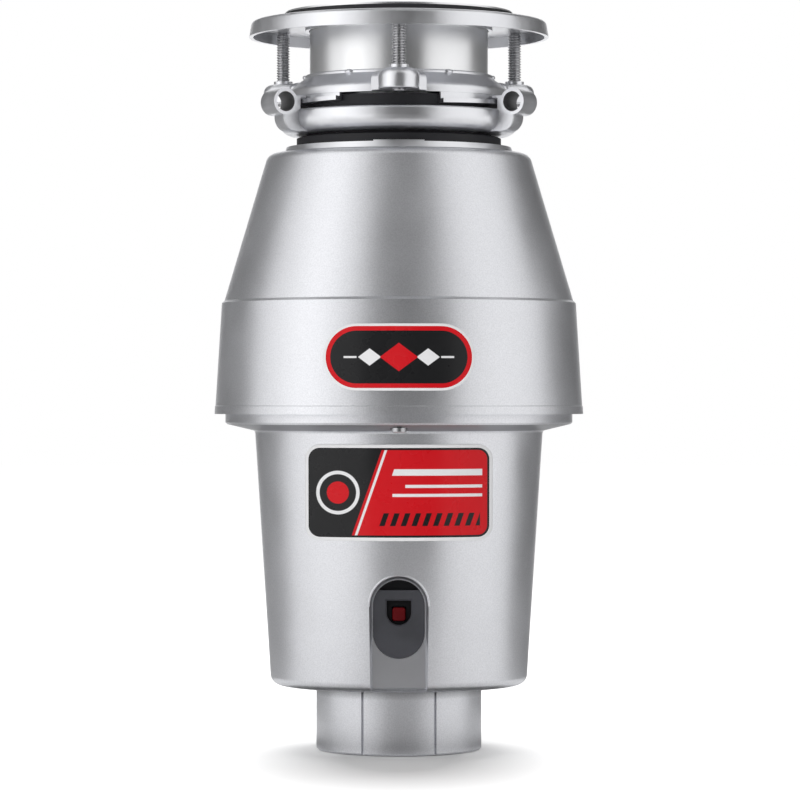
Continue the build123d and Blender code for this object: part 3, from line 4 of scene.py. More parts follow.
import bmesh
import bpy
import numpy as np
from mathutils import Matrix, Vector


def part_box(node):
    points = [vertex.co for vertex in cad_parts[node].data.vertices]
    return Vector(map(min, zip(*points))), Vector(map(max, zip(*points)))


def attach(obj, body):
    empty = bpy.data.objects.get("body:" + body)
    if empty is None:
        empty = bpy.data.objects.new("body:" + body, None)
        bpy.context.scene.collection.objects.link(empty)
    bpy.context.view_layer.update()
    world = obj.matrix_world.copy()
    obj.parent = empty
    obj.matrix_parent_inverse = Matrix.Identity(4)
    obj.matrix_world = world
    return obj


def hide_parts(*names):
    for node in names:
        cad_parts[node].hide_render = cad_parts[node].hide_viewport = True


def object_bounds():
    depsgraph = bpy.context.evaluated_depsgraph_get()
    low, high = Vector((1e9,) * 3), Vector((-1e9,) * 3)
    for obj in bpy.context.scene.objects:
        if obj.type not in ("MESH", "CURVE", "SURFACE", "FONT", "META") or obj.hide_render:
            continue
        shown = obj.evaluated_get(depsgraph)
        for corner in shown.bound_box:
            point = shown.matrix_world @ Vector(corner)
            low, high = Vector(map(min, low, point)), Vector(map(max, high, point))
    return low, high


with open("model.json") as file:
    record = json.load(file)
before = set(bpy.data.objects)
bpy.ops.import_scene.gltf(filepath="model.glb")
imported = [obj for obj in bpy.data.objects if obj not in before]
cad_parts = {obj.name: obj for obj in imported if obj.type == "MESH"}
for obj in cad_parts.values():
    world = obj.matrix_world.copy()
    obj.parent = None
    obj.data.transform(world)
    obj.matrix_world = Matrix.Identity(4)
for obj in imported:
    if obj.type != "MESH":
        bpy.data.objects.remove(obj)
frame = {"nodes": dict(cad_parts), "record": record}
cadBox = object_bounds()
nodes = frame["nodes"]
record = frame["record"]
scene = bpy.context.scene
scene.view_settings.view_transform = "Standard"
mm = 0.001
tiny = 1e-18
print("frame loaded:", len(nodes), "nodes")

# camera: level with the middle of the body, long lens, straight at the front
cameraSetup = {
    "distance": 1.85, "height": 0.1682, "lens": 172.4, "sensor": 36, "shift": 0.0014, "clipEnd": 50,
}
cameraData = bpy.data.cameras.new("photoCamera")
cameraData.lens = cameraSetup["lens"]
cameraData.sensor_width = cameraSetup["sensor"]
cameraData.shift_x = cameraSetup["shift"]
cameraData.clip_end = cameraSetup["clipEnd"]
camera = bpy.data.objects.new("photoCamera", cameraData)
camera.location = (0, -cameraSetup["distance"], cameraSetup["height"])
camera.rotation_euler = (pi / 2, 0, 0)
scene.collection.objects.link(camera)
scene.camera = camera
print("camera set")


# mesh helpers
def polar(radius, angle, height):
    # angle counted from the front (-Y) towards +X
    radius, angle, height = np.broadcast_arrays(radius, angle, height)
    return np.stack([radius * np.sin(angle), -radius * np.cos(angle), height], axis=-1)


def circle(count):
    return np.linspace(0, 2 * pi, count, endpoint=False)


def pointsOf(mesh):
    points = np.empty(len(mesh.vertices) * 3)
    mesh.vertices.foreach_get("co", points)
    return points.reshape(-1, 3)


def cornersOf(mesh):
    corners = np.empty(len(mesh.loops), np.int32)
    mesh.loops.foreach_get("vertex_index", corners)
    return corners


def coneOf(node):
    # the cone that a plate is bent round, as (taper, base): radius = base + taper * height
    points = pointsOf(nodes[node].data)
    return np.polyfit(points[:, 2], np.hypot(points[:, 0], points[:, 1]), 1)


def lengthsAlong(line):
    # distance along the line at each of its points
    steps = np.linalg.norm(np.diff(line, axis=0), axis=1)
    return np.concatenate([[0], np.cumsum(steps)])


def respace(line, wanted):
    # the points at the wanted distances along the line
    along = lengthsAlong(line)
    return np.stack([np.interp(wanted, along, column) for column in line.T], axis=-1)


def editMesh(mesh, edit):
    shell = bmesh.new()
    shell.from_mesh(mesh)
    edit(shell)
    shell.to_mesh(mesh)
    shell.free()


def addPiece(name, mesh, materials):
    for material in materials:
        mesh.materials.append(material)
    piece = bpy.data.objects.new(name, mesh)
    scene.collection.objects.link(piece)
    return piece


def gridPiece(name, grid, materials, rowMaterial=None, wrap=True, poles=(False, False),
              uv=None, sharpAngle=40):
    # quads between neighbouring grid points; wrap joins the last column to the first,
    # a pole closes an end row with a fan to its middle
    rows, columns = grid.shape[:2]
    index = np.arange(rows * columns).reshape(rows, columns)
    here = index if wrap else index[:, :-1]
    beside = np.roll(index, -1, axis=1) if wrap else index[:, 1:]
    quads = np.stack([here[:-1], beside[:-1], beside[1:], here[1:]], axis=-1).reshape(-1, 4)
    points = grid.reshape(-1, 3)
    faces = quads.tolist()
    rowSlots = np.zeros(rows - 1, int) if rowMaterial is None else rowMaterial
    slots = np.repeat(rowSlots, here.shape[1])
    for end, closed in zip((0, -1), poles):
        if closed:
            fan = np.stack([here[end], beside[end], np.full(here.shape[1], len(points))], axis=-1)
            points = np.vstack([points, grid[end].mean(axis=0)])
            faces += fan.tolist()
            slots = np.concatenate([slots, np.full(len(fan), rowSlots[end])])
    mesh = bpy.data.meshes.new(name)
    mesh.from_pydata(points.tolist(), [], faces)
    mesh.polygons.foreach_set("material_index", slots.astype(np.int32))
    if uv is not None:
        # flat map of the print: across and up, in shares of the plate's size
        low, size = uv
        flat = (points[cornersOf(mesh)][:, [0, 2]] - low) / size
        mesh.uv_layers.new(name="print").data.foreach_set("uv", flat.astype(np.float32).ravel())
    editMesh(mesh, lambda shell: bmesh.ops.recalc_face_normals(shell, faces=shell.faces))
    mesh.shade_smooth()
    mesh.set_sharp_from_angle(angle=radians(sharpAngle))
    return addPiece(name, mesh, materials)


# material helpers
def plug(tree, socket, value):
    # another node's socket is linked, anything else is set on the socket itself
    if isinstance(value, bpy.types.NodeSocket):
        tree.links.new(value, socket)
    else:
        socket.default_value = value


def startMaterial(name, base, metallic=0.0, roughness=0.5, **sockets):
    material = bpy.data.materials.new(name)
    material.use_nodes = True
    shader = material.node_tree.nodes["Principled BSDF"]
    shader.inputs["Base Color"].default_value = (*base, 1)
    shader.inputs["Metallic"].default_value = metallic
    shader.inputs["Roughness"].default_value = roughness
    for socket, value in sockets.items():
        shader.inputs[socket.replace("_", " ")].default_value = value
    return material, material.node_tree, shader


def addNode(tree, kind, feeds=None, **settings):
    node = tree.nodes.new("ShaderNode" + kind)
    for key, value in settings.items():
        setattr(node, key, value)
    for socket, value in (feeds or {}).items():
        plug(tree, node.inputs[socket], value)
    return node


def ownPlace(tree):
    return addNode(tree, "TexCoord").outputs["Object"]


def grain(tree, size, detail=2.0, move=(0, 0, 0)):
    # noise whose lumps are about size metres across, on the object's own coordinates
    moved = addNode(tree, "Mapping", {"Vector": ownPlace(tree), "Location": move}).outputs[0]
    feeds = {"Vector": moved, "Scale": 1 / size, "Detail": detail}
    return addNode(tree, "TexNoise", feeds).outputs["Fac"]


def spread(tree, value, low, high, start=0.32, stop=0.68):
    feeds = {"Value": value, "From Min": start, "From Max": stop, "To Min": low, "To Max": high}
    return addNode(tree, "MapRange", feeds).outputs["Result"]


def tint(tree, value, dark, light, start=0.35, stop=0.65):
    ramp = addNode(tree, "ValToRGB", {"Fac": value})
    ends = ramp.color_ramp.elements
    ends[0].position, ends[0].color = start, (*dark, 1)
    ends[1].position, ends[1].color = stop, (*light, 1)
    return ramp.outputs["Color"]


def blendColours(tree, share, first, second, mode="MIX"):
    feeds = {0: share, 6: first, 7: second}
    return addNode(tree, "Mix", feeds, data_type="RGBA", blend_type=mode).outputs[2]


def calc(tree, operation, *values):
    return addNode(tree, "Math", dict(enumerate(values)), operation=operation).outputs[0]


def relief(tree, shader, *layers):
    # each layer is (height, strength, depth in metres), the coarse one first
    normal = None
    for height, strength, depth in layers:
        feeds = {"Height": height, "Strength": strength, "Distance": depth}
        if normal is not None:
            feeds["Normal"] = normal
        normal = addNode(tree, "Bump", feeds).outputs["Normal"]
    feed(tree, shader, "Normal", normal)


def feed(tree, shader, socket, value):
    tree.links.new(value, shader.inputs[socket])


# finishes: sizes of the grains in metres, relief as (strength, depth in metres)
silver = {
    "dark": (0.735, 0.742, 0.772), "light": (0.855, 0.862, 0.895), "haze": (0.95, 0.95, 0.95),
    "plain": 0.38, "roughness": (0.36, 0.42), "coat": 0.1, "coatRoughness": 0.25,
    "flake": 0.0006, "flakeSpan": (0.3, 0.7), "cloud": 0.035, "ripple": 0.003,
    "rippleRelief": (0.04, 0.0004), "flakeRelief": (0.08, 0.0002),
}


def makeSilverPaint(name, thin=None):
    # thin is (low, high, share): from the height low to high the colour is darkened, down to that
    # share, as painted shade
    material, tree, shader = startMaterial(
        name, silver["light"], 1.0, silver["plain"],
        Coat_Weight=silver["coat"], Coat_Roughness=silver["coatRoughness"])
    flakes = grain(tree, silver["flake"], 3)
    clouds = grain(tree, silver["cloud"], 3)
    flecked = tint(tree, flakes, silver["dark"], silver["light"], *silver["flakeSpan"])
    hazed = tint(tree, clouds, silver["haze"], (1, 1, 1))
    colour = blendColours(tree, 1.0, flecked, hazed, "MULTIPLY")
    # painted shade: the colour darkens towards the top of the given heights
    if thin:
        low, high, share = thin
        height = addNode(tree, "SeparateXYZ", {"Vector": ownPlace(tree)}).outputs["Z"]
        thinner = spread(tree, height, 1.0, share, low, high)
        colour = blendColours(tree, 1.0, colour, thinner, "MULTIPLY")
    feed(tree, shader, "Base Color", colour)
    feed(tree, shader, "Roughness", spread(tree, clouds, *silver["roughness"]))
    ripple = grain(tree, silver["ripple"], 2)
    relief(tree, shader, (ripple, *silver["rippleRelief"]), (flakes, *silver["flakeRelief"]))
    return material


casting = {
    "dark": (0.785, 0.791, 0.818), "light": (0.84, 0.847, 0.875),
    "plain": 0.32, "roughness": (0.28, 0.38), "skin": 0.0012, "cloud": 0.012, "move": (3, 1, 2),
    "ripple": 0.005, "rippleRelief": (0.08, 0.0006), "skinRelief": (0.10, 0.0003),
}


def makeDieCast():
    material, tree, shader = startMaterial("dieCast", casting["light"], 1.0, casting["plain"])
    skin = grain(tree, casting["skin"], 3)
    clouds = grain(tree, casting["cloud"], 4, casting["move"])
    feed(tree, shader, "Base Color", tint(tree, clouds, casting["dark"], casting["light"]))
    feed(tree, shader, "Roughness", spread(tree, clouds, *casting["roughness"]))
    ripple = grain(tree, casting["ripple"], 2)
    relief(tree, shader, (ripple, *casting["rippleRelief"]), (skin, *casting["skinRelief"]))
    return material


steel = {"cloud": 0.02, "dark": 0.95, "ripple": 0.008, "relief": (0.03, 0.0004)}


def makeBrightSteel(name, base, roughness):
    # drawn sheet steel or smooth paint: a faint cloudy change of gloss
    material, tree, shader = startMaterial(name, base, 1.0, roughness[0])
    clouds = grain(tree, steel["cloud"], 3)
    feed(tree, shader, "Base Color", tint(tree, clouds, [steel["dark"] * c for c in base], base))
    feed(tree, shader, "Roughness", spread(tree, clouds, *roughness))
    relief(tree, shader, (grain(tree, steel["ripple"], 2), *steel["relief"]))
    return material


plating = {
    "base": (0.78, 0.78, 0.79), "dark": (0.74, 0.74, 0.755), "light": (0.82, 0.82, 0.83),
    "plain": 0.26, "roughness": (0.22, 0.30), "cloud": 0.006,
}


def makePlatedSteel():
    material, tree, shader = startMaterial("platedSteel", plating["base"], 1.0, plating["plain"])
    clouds = grain(tree, plating["cloud"], 3)
    feed(tree, shader, "Base Color", tint(tree, clouds, plating["dark"], plating["light"]))
    feed(tree, shader, "Roughness", spread(tree, clouds, *plating["roughness"]))
    return material


moulding = {
    "cloud": 0.015, "dark": 0.85, "light": 1.12,
    "ripple": 0.004, "rippleRelief": (0.06, 0.0005), "pebbleDepth": 0.0002,
}


def makeMoulded(name, base, roughness, grainSize=0.0008, depth=0.12, gloss=0.5):
    # moulded rubber or plastic: fine pebble, faint cloudy sheen
    material, tree, shader = startMaterial(name, base, 0.0, roughness[0], Specular_IOR_Level=gloss)
    pebble = grain(tree, grainSize, 2)
    clouds = grain(tree, moulding["cloud"], 4)
    dark, light = ([moulding[end] * c for c in base] for end in ("dark", "light"))
    feed(tree, shader, "Base Color", tint(tree, clouds, dark, light))
    feed(tree, shader, "Roughness", spread(tree, clouds, *roughness))
    ripple = grain(tree, moulding["ripple"], 2)
    pebbleLayer = (pebble, depth, moulding["pebbleDepth"])
    relief(tree, shader, (ripple, *moulding["rippleRelief"]), pebbleLayer)
    return material


# painted shade on the foot's top, under the overhanging motor shell
footTopShade = {"reach": 5.0 * mm, "share": 0.28}
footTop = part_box("base_foot")[1][2]
silverPaint = makeSilverPaint("silverPaint")
footPaintWithShade = makeSilverPaint("footPaintWithShade", (footTop - footTopShade["reach"], footTop, footTopShade["share"]))
dieCast = makeDieCast()
flangeSteel = makeBrightSteel("flangeSteel", (0.91, 0.915, 0.925), (0.29, 0.34))
grindSteel = makeBrightSteel("grindSteel", (0.70, 0.70, 0.71), (0.24, 0.34))
platedSteel = makePlatedSteel()
# darker, duller casting for the ear bores: partly the casting's own dull skin, partly painted shade
dullBoreCastingAndShade = makeBrightSteel("dullBoreCastingAndShade", (0.30, 0.30, 0.31), (0.55, 0.65))
boltSteel = makeBrightSteel("boltSteel", (0.54, 0.54, 0.555), (0.26, 0.34))
# painted shade: a darker copy of the silver for the shoulder under the band
shoulderPaintedShade = makeBrightSteel("shoulderPaintedShade", (0.31, 0.313, 0.33), (0.40, 0.48))
# painted shade: a darker copy of the silver for the flat of the reset recess
recessPaintedShade = makeBrightSteel("recessPaintedShade", (0.57, 0.575, 0.60), (0.36, 0.42))
blackRubber = makeMoulded("blackRubber", (0.018, 0.018, 0.021), (0.48, 0.62), 0.0009, 0.16, 0.35)
gasketRubber = makeMoulded("gasketRubber", (0.020, 0.020, 0.023), (0.50, 0.65), 0.0007, 0.14, 0.4)
panelPlastic = makeMoulded("panelPlastic", (0.050, 0.051, 0.059), (0.42, 0.52), 0.0007, 0.10, 0.4)
# near-black plastic: the overload protector's colour, and painted shade in the reset panel's well
blackPlasticAndWellShade = makeMoulded("blackPlasticAndWellShade", (0.006, 0.006, 0.007), (0.40, 0.50), 0.0007, 0.08, 0.15)
containerPlastic = makeMoulded("containerPlastic", (0.09, 0.09, 0.10), (0.38, 0.50), 0.001, 0.10)
# the red is darkened below the plastic's own colour: painted shade of the recess on the reset
# button
redPlasticWithShade = makeMoulded("redPlasticWithShade", (0.105, 0.003, 0.005), (0.30, 0.40), 0.0008, 0.05, 0.12)
windingCopper = makeMoulded("windingCopper", (0.42, 0.15, 0.06), (0.30, 0.42), 0.0012, 0.30)
print("finishes made")


# CAD nodes: the same shape, joined up and shaded smooth across its curves
skinning = {
    "merge": 1e-6, "crease": 30, "widest": 10, "slack": 2e-5, "aligned": 0.995, "shortest": 5e-5,
    "least": 1e-9,
}


def turnedNormals(points, faces):
    # a face lies on a shell turned about Z if its corners' (radius, height) are in line
    # and it looks along its own azimuth: there each corner takes the profile's normal at its
    # own azimuth, elsewhere it takes the flat face's normal
    corner = points[faces]
    cross = np.cross(corner[:, 1] - corner[:, 0], corner[:, 2] - corner[:, 0])
    area = np.linalg.norm(cross, axis=1)
    flat = cross / np.maximum(area, tiny)[:, None]
    radius = np.hypot(corner[..., 0], corner[..., 1])
    azimuth = np.arctan2(corner[..., 1], corner[..., 0])
    middle = np.arctan2(corner[..., 1].mean(axis=1), corner[..., 0].mean(axis=1))
    away = (azimuth - middle[:, None] + pi) % (2 * pi) - pi
    profile = np.stack([radius, corner[..., 2]], axis=-1)
    sides = profile[:, [1, 2, 0]] - profile
    lengths = np.linalg.norm(sides, axis=-1)
    pick = np.arange(len(faces)), lengths.argmax(axis=1)
    longest = np.maximum(lengths[pick], skinning["least"])
    run = sides[pick] / longest[:, None]
    spare = np.abs(sides[:, 0, 0] * sides[:, 1, 1] - sides[:, 0, 1] * sides[:, 1, 0]) / longest
    outward = np.stack([run[:, 1], -run[:, 0]], axis=-1)
    ahead = flat[:, 0] * np.cos(middle) + flat[:, 1] * np.sin(middle)
    match = (outward * np.stack([ahead, flat[:, 2]], axis=-1)).sum(axis=1)
    outward *= np.where(match < 0, -1, 1)[:, None]
    turned = (spare < skinning["slack"]) & (np.abs(match) > skinning["aligned"])
    turned &= longest > skinning["shortest"]
    turned &= np.ptp(away, axis=1) < radians(skinning["widest"])
    swung = np.stack([outward[:, :1] * np.cos(azimuth), outward[:, :1] * np.sin(azimuth),
                      outward[:, 1:] * np.ones(3)], axis=-1)
    return np.where(turned[:, None, None], swung, flat[:, None, :]), area


def evenNormals(points, faces):
    # each corner's normal is the area-weighted mean over the corners at the same vertex
    # that look the same way within the crease
    normals, area = turnedNormals(points, faces)
    normals = normals.reshape(-1, 3)
    weight = np.repeat(area, 3)
    order = np.argsort(faces.ravel(), kind="stable")
    count = np.bincount(faces.ravel(), minlength=len(points))
    first = np.concatenate([[0], np.cumsum(count)[:-1]])
    each = count[faces.ravel()[order]]
    base = np.repeat(first[faces.ravel()[order]], each)
    step = np.arange(each.sum()) - np.repeat(np.cumsum(each) - each, each)
    here = np.repeat(order, each)
    there = order[base + step]
    near = (normals[here] * normals[there]).sum(axis=1) > np.cos(radians(skinning["crease"]))
    pulls = normals[there] * (weight[there] * near)[:, None]
    summed = np.stack([np.bincount(here, pull, len(normals)) for pull in pulls.T], -1)
    return summed / np.maximum(np.linalg.norm(summed, axis=1), tiny)[:, None]


# where some nodes have another finish or a painted shade: each function picks faces by their
# middles
places = {
    "panelWell": 0.9 * mm, "boreSlack": 0.15 * mm, "shoulder": (0.1, 0.9),
    "recessLevel": 0.6 * mm, "recessReach": 15.5 * mm,
}


def behindFront(depth):
    # picks the faces that lie further behind the node's front than depth
    return lambda middles: middles[:, 1] > middles[:, 1].min() + depth


def inBores(names):
    # picks the faces on the walls of the record's round mounts of these names; these take a darker,
    # duller casting that is partly the casting's own skin and partly painted shade inside the bores
    def pick(middles):
        found = np.zeros(len(middles), bool)
        for mount in record["mounts"]:
            if mount["name"] in names:
                axis = np.array(mount["axis"]) / np.linalg.norm(mount["axis"])
                away = middles - np.array(mount["pos_m"])
                along = away @ axis
                across = np.linalg.norm(away - along[:, None] * axis, axis=1)
                radius, length = mount["dims"]["r_mm"] * mm, mount["dims"]["length_mm"] * mm
                found |= (across < radius + places["boreSlack"]) & (np.abs(along) < length)
        return found
    return pick


def wallRadius(heights):
    # radius of the motor shell's tapered wall, from the plate that lies on it
    return np.polyval(coneOf("front_label"), heights)


def onShoulder(middles):
    # picks the faces between the motor shell's wall and its wider collar, which take a painted
    # shade
    wall = wallRadius(middles[:, 2])
    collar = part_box("lower_housing")[1][0]
    share = (np.hypot(middles[:, 0], middles[:, 1]) - wall) / (collar - wall)
    return (share > places["shoulder"][0]) & (share < places["shoulder"][1])


def inRecess(middles):
    # picks the faces of the flat that is level with the reset panel's front, which take a painted
    # shade
    level = np.abs(middles[:, 1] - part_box("reset_panel")[0][1]) < places["recessLevel"]
    return level & (np.abs(middles[:, 0]) < places["recessReach"])


def skinNode(name, body, material, others=()):
    # others are (finish, pick) pairs: that finish goes on the faces that pick finds
    mesh = nodes[name].data.copy()
    mesh.name = name + "Skin"
    merge = {"dist": skinning["merge"]}
    editMesh(mesh, lambda shell: bmesh.ops.remove_doubles(shell, verts=shell.verts, **merge))
    mesh.shade_smooth()
    points, faces = pointsOf(mesh), cornersOf(mesh).reshape(-1, 3)
    mesh.normals_split_custom_set(evenNormals(points, faces).tolist())
    middles = points[faces].mean(axis=1)
    slots = np.zeros(len(middles), np.int32)
    for number, (finish, pick) in enumerate(others, 1):
        slots[pick(middles)] = number
    mesh.materials.clear()
    piece = addPiece(name + "Skin", mesh, [material] + [finish for finish, pick in others])
    mesh.polygons.foreach_set("material_index", slots)
    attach(piece, body)
    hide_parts(name)


bodies = record["behaviour"]["bodies"]
bodyOf = {node: body for body, members in bodies.items() for node in members}
slotOf = {part["node"]: part["material_slot"] for part in record["subparts"]}
finishOf = {
    "silver_paint": silverPaint,
    "die_cast": dieCast,
    "stainless": grindSteel,
    "zinc_steel": platedSteel,
    "black_rubber": blackRubber,
    "dark_plastic": panelPlastic,
    "container_plastic": containerPlastic,
    "red_plastic": redPlasticWithShade,
    "bronze": platedSteel,
    "copper": windingCopper,
    "core_steel": grindSteel,
    "foam": blackRubber,
    "badge_print": panelPlastic,
    "label_print": redPlasticWithShade,
    "lead_insulation": panelPlastic,
}
ownFinish = {
    "base_foot": footPaintWithShade,
    "sink_flange": flangeSteel,
    "sink_gasket": gasketRubber,
    "overload_protector": blackPlasticAndWellShade,
    "snap_ring": platedSteel,
    "housing_screws": boltSteel,
}
otherFinishesAndShades = {
    "lower_housing": [(shoulderPaintedShade, onShoulder), (recessPaintedShade, inRecess)],
    # the panel's faces behind its front take the near-black plastic as painted shade in the well
    "reset_panel": [(blackPlasticAndWellShade, behindFront(places["panelWell"]))],
    "lower_mounting_ring": [(dullBoreCastingAndShade, inBores(["lever_ear_1", "lever_ear_2", "lever_ear_3"]))],
}
skinned = [
    "base_foot", "terminal_cover", "lower_housing", "reset_panel", "reset_button",
    "overload_protector", "drain_chamber", "grind_container", "upper_cover", "top_collar",
    "cushion_mount", "lower_mounting_ring", "upper_mounting_ring", "snap_ring", "backup_flange",
    "sink_gasket", "sink_flange", "splash_baffle", "turntable", "turntable_nut", "shredder_ring",
    "impeller_1", "impeller_2", "impeller_rivets", "motor_shaft", "shaft_seal", "terminal_screws",
    "housing_screws", "ground_screw",
]
for name, part in nodes.items():
    finish = ownFinish.get(name, finishOf[slotOf[name]])
    part.data.materials.clear()
    part.data.materials.append(finish)
    if name in skinned:
        skinNode(name, bodyOf[name], finish, otherFinishesAndShades.get(name, ()))
print("CAD nodes dressed")


# mounting bolts with a rolled thread; steep and root shape the thread's flanks and floor
bolts = {
    "pitch": 1.27 * mm, "depth": 0.7 * mm, "chamfer": 0.8 * mm, "steep": 1.6, "root": 0.15,
    "rows": 16, "columns": 40,
}


def makeBolt(number):
    # radius falls from crest to root as a flat-topped wave of (height / pitch - turn): one helix;
    # the ends are pulled in to a chamfer
    low, high = (np.array(corner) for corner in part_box(f"mounting_bolt_{number}"))
    middle, crest = (low + high) / 2, (high[0] - low[0]) / 2
    count = int((high[2] - low[2]) / bolts["pitch"] * bolts["rows"])
    height = np.linspace(low[2], high[2], count)[:, None]
    turn = circle(bolts["columns"])[None, :]
    wave = np.abs(((height / bolts["pitch"] - turn / (2 * pi)) % 1) * 2 - 1)
    wave = np.clip(wave * bolts["steep"] - bolts["root"], 0, 1)
    end = np.minimum(height - low[2], high[2] - height)
    limit = crest - bolts["chamfer"] + np.clip(end, 0, bolts["chamfer"])
    radius = np.minimum(crest - bolts["depth"] * (1 - wave), limit)
    grid = polar(radius, turn, height) + np.array([middle[0], middle[1], 0])
    ends = (True, True)
    piece = gridPiece(f"threadedBolt{number}", grid, [boltSteel], poles=ends, sharpAngle=60)
    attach(piece, f"bolt_{number}")
    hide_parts(f"mounting_bolt_{number}")


for number in (1, 2, 3):
    makeBolt(number)
print("bolts threaded")


# small cast bumps on the upper ring's bead, a pair beside each boss
bumps = {
    "bosses": (0, 120, 240), "swing": 31.4, "radius": 45.1 * mm, "drop": 0.9 * mm,
    "half": (2.4 * mm, 1.15 * mm), "proud": 1.4 * mm, "sunk": 0.4 * mm,
    "rings": 10, "columns": 28, "tip": 0.02,
}


def makeBump(number, angle):
    # half an ellipsoid bent round the bead, from its rim to its pole,
    # on a short skirt sunk into the ring
    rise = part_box("upper_mounting_ring")[1][2] - bumps["drop"]
    out = np.concatenate([[1], np.linspace(1, bumps["tip"], bumps["rings"])])[:, None]
    turn = circle(bumps["columns"])[None, :]
    across = bumps["half"][0] * out * np.cos(turn)
    up = bumps["half"][1] * out * np.sin(turn)
    radius = bumps["radius"] + bumps["proud"] * np.sqrt(1 - out ** 2)
    radius[0] -= bumps["sunk"]
    grid = polar(radius, radians(angle) + across / bumps["radius"], rise + up)
    piece = gridPiece(f"ringBump{number}", grid, [dieCast], poles=(True, True), sharpAngle=70)
    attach(piece, "housing")


for pair, angle in enumerate(bumps["bosses"]):
    makeBump(2 * pair + 1, angle - bumps["swing"])
    makeBump(2 * pair + 2, angle + bumps["swing"])
print("ring bumps made")


# rolled rim round the reset recess
rim = {
    "heights": (36 * mm, 90 * mm), "slack": 1.0 * mm, "middle": 60 * mm, "digits": 7,
    "roll": 0.6 * mm, "sunk": 0.4 * mm, "aside": 0.25 * mm, "steps": 160, "sides": 20,
}


def unit(vectors):
    return vectors / np.linalg.norm(vectors, axis=1)[:, None]


def makeRecessRim():
    # the recess's edge is where faces of the housing share vertices on its outer cone at the front;
    # a thin roll follows that edge, half sunk into the wall
    points = pointsOf(nodes["lower_housing"].data).round(rim["digits"])
    points, shared = np.unique(points, axis=0, return_counts=True)
    points = points[shared > 1]
    off = np.abs(np.hypot(points[:, 0], points[:, 1]) - wallRadius(points[:, 2]))
    near = (np.abs(points[:, 0]) < places["recessReach"]) & (points[:, 1] < 0)
    near &= (points[:, 2] > rim["heights"][0]) & (points[:, 2] < rim["heights"][1])
    near &= off < rim["slack"]
    edge = points[near]
    edge = edge[np.argsort(np.arctan2(edge[:, 0], edge[:, 2] - rim["middle"]))]
    line = respace(edge, np.linspace(0, lengthsAlong(edge)[-1], rim["steps"]))
    outward = unit(line * np.array([1, 1, 0]))
    aside = np.cross(outward, unit(np.gradient(line, axis=0)))
    aside *= np.sign((aside * (line - np.array([0, 0, rim["middle"]]))).sum(axis=1))[:, None]
    core = line - rim["sunk"] * outward + rim["aside"] * aside
    turn = circle(rim["sides"])[None, :, None]
    ring = np.cos(turn) * outward[:, None] + np.sin(turn) * aside[:, None]
    grid = core[:, None] + rim["roll"] * ring
    piece = gridPiece("recessRim", grid, [silverPaint], poles=(True, True), sharpAngle=60)
    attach(piece, "housing")


makeRecessRim()
print("recess rim made")


# printed plates on the front: counts of points and rings, and shares of the outline that they reach
plates = {
    "outline": 320, "cornerSteps": 24, "leastCorner": 0.4 * mm,
    "back": (0.03, 0.9, 8), "front": (0.96, 0.03, 26),
}


def roundedOutline(halfWidth, halfHeight, corner):
    # rectangle with round corners as a closed line, points evenly spaced along it
    steps = plates["cornerSteps"]
    swing = np.linspace(0, pi / 2, steps)
    turns = np.concatenate([swing + k * pi / 2 for k in range(4)])
    sideX = np.repeat([1, -1, -1, 1], steps) * (halfWidth - corner)
    sideZ = np.repeat([1, 1, -1, -1], steps) * (halfHeight - corner)
    line = np.stack([sideX + corner * np.cos(turns), sideZ + corner * np.sin(turns)], axis=-1)
    line = np.vstack([line, line[:1]])
    return respace(line, np.linspace(0, lengthsAlong(line)[-1], plates["outline"], endpoint=False))


def makePlate(name, plate, materials, node):
    # rings of the outline, drawn in step by step from the back's middle round the edge to the
    # front's middle, bent onto the cone that the CAD plate lies on
    points = pointsOf(nodes[node].data)
    taper, base = coneOf(node)
    low, high = points.min(axis=0), points.max(axis=0)
    size = (high - low)[[0, 2]]
    insets, lifts, slots = (np.array(column) for column in zip(*plate["rings"]))
    corners = np.maximum(plate["corner"] - insets, plates["leastCorner"])
    rings = [roundedOutline(*(size / 2 - inset), corner) for inset, corner in zip(insets, corners)]
    back = [rings[0] * share for share in np.linspace(*plates["back"])]
    front = [rings[-1] * share for share in np.linspace(*plates["front"])]
    flat = np.array(back + rings + front)
    repeats = np.ones(len(rings), int)
    repeats[0] += len(back)
    repeats[-1] += len(front)
    lift, slots = np.repeat(lifts, repeats)[:, None], np.repeat(slots, repeats)
    height = (low[2] + high[2]) / 2 + flat[..., 1]
    radius = base + taper * height + lift
    grid = np.stack([flat[..., 0], -np.sqrt(radius ** 2 - flat[..., 0] ** 2), height], axis=-1)
    flatMap = (low[[0, 2]], size)
    ends = (True, True)
    piece = gridPiece(name, grid, materials, slots[1:], poles=ends, uv=flatMap, sharpAngle=35)
    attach(piece, "housing")
    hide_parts(node)


ink = {
    "red": (0.62, 0.004, 0.010), "black": (0.012, 0.012, 0.013), "white": (0.82, 0.82, 0.83),
    "roughness": 0.28, "rougher": (-0.04, 0.06), "specular": 0.2,
    "coat": 0.1, "coatRoughness": 0.15,
    "ripple": 0.003, "relief": (0.04, 0.0003), "cloud": 0.01, "soft": 0.12,
}
opaque = {name: (*ink[name], 1) for name in ("red", "black", "white")}


def printMaterial(name, base):
    material, tree, shader = startMaterial(
        name, base, 0.0, ink["roughness"], Specular_IOR_Level=ink["specular"],
        Coat_Weight=ink["coat"], Coat_Roughness=ink["coatRoughness"])
    relief(tree, shader, (grain(tree, ink["ripple"], 2), *ink["relief"]))
    span = [ink["roughness"] + change for change in ink["rougher"]]
    feed(tree, shader, "Roughness", spread(tree, grain(tree, ink["cloud"], 3), *span))
    return material, tree, shader


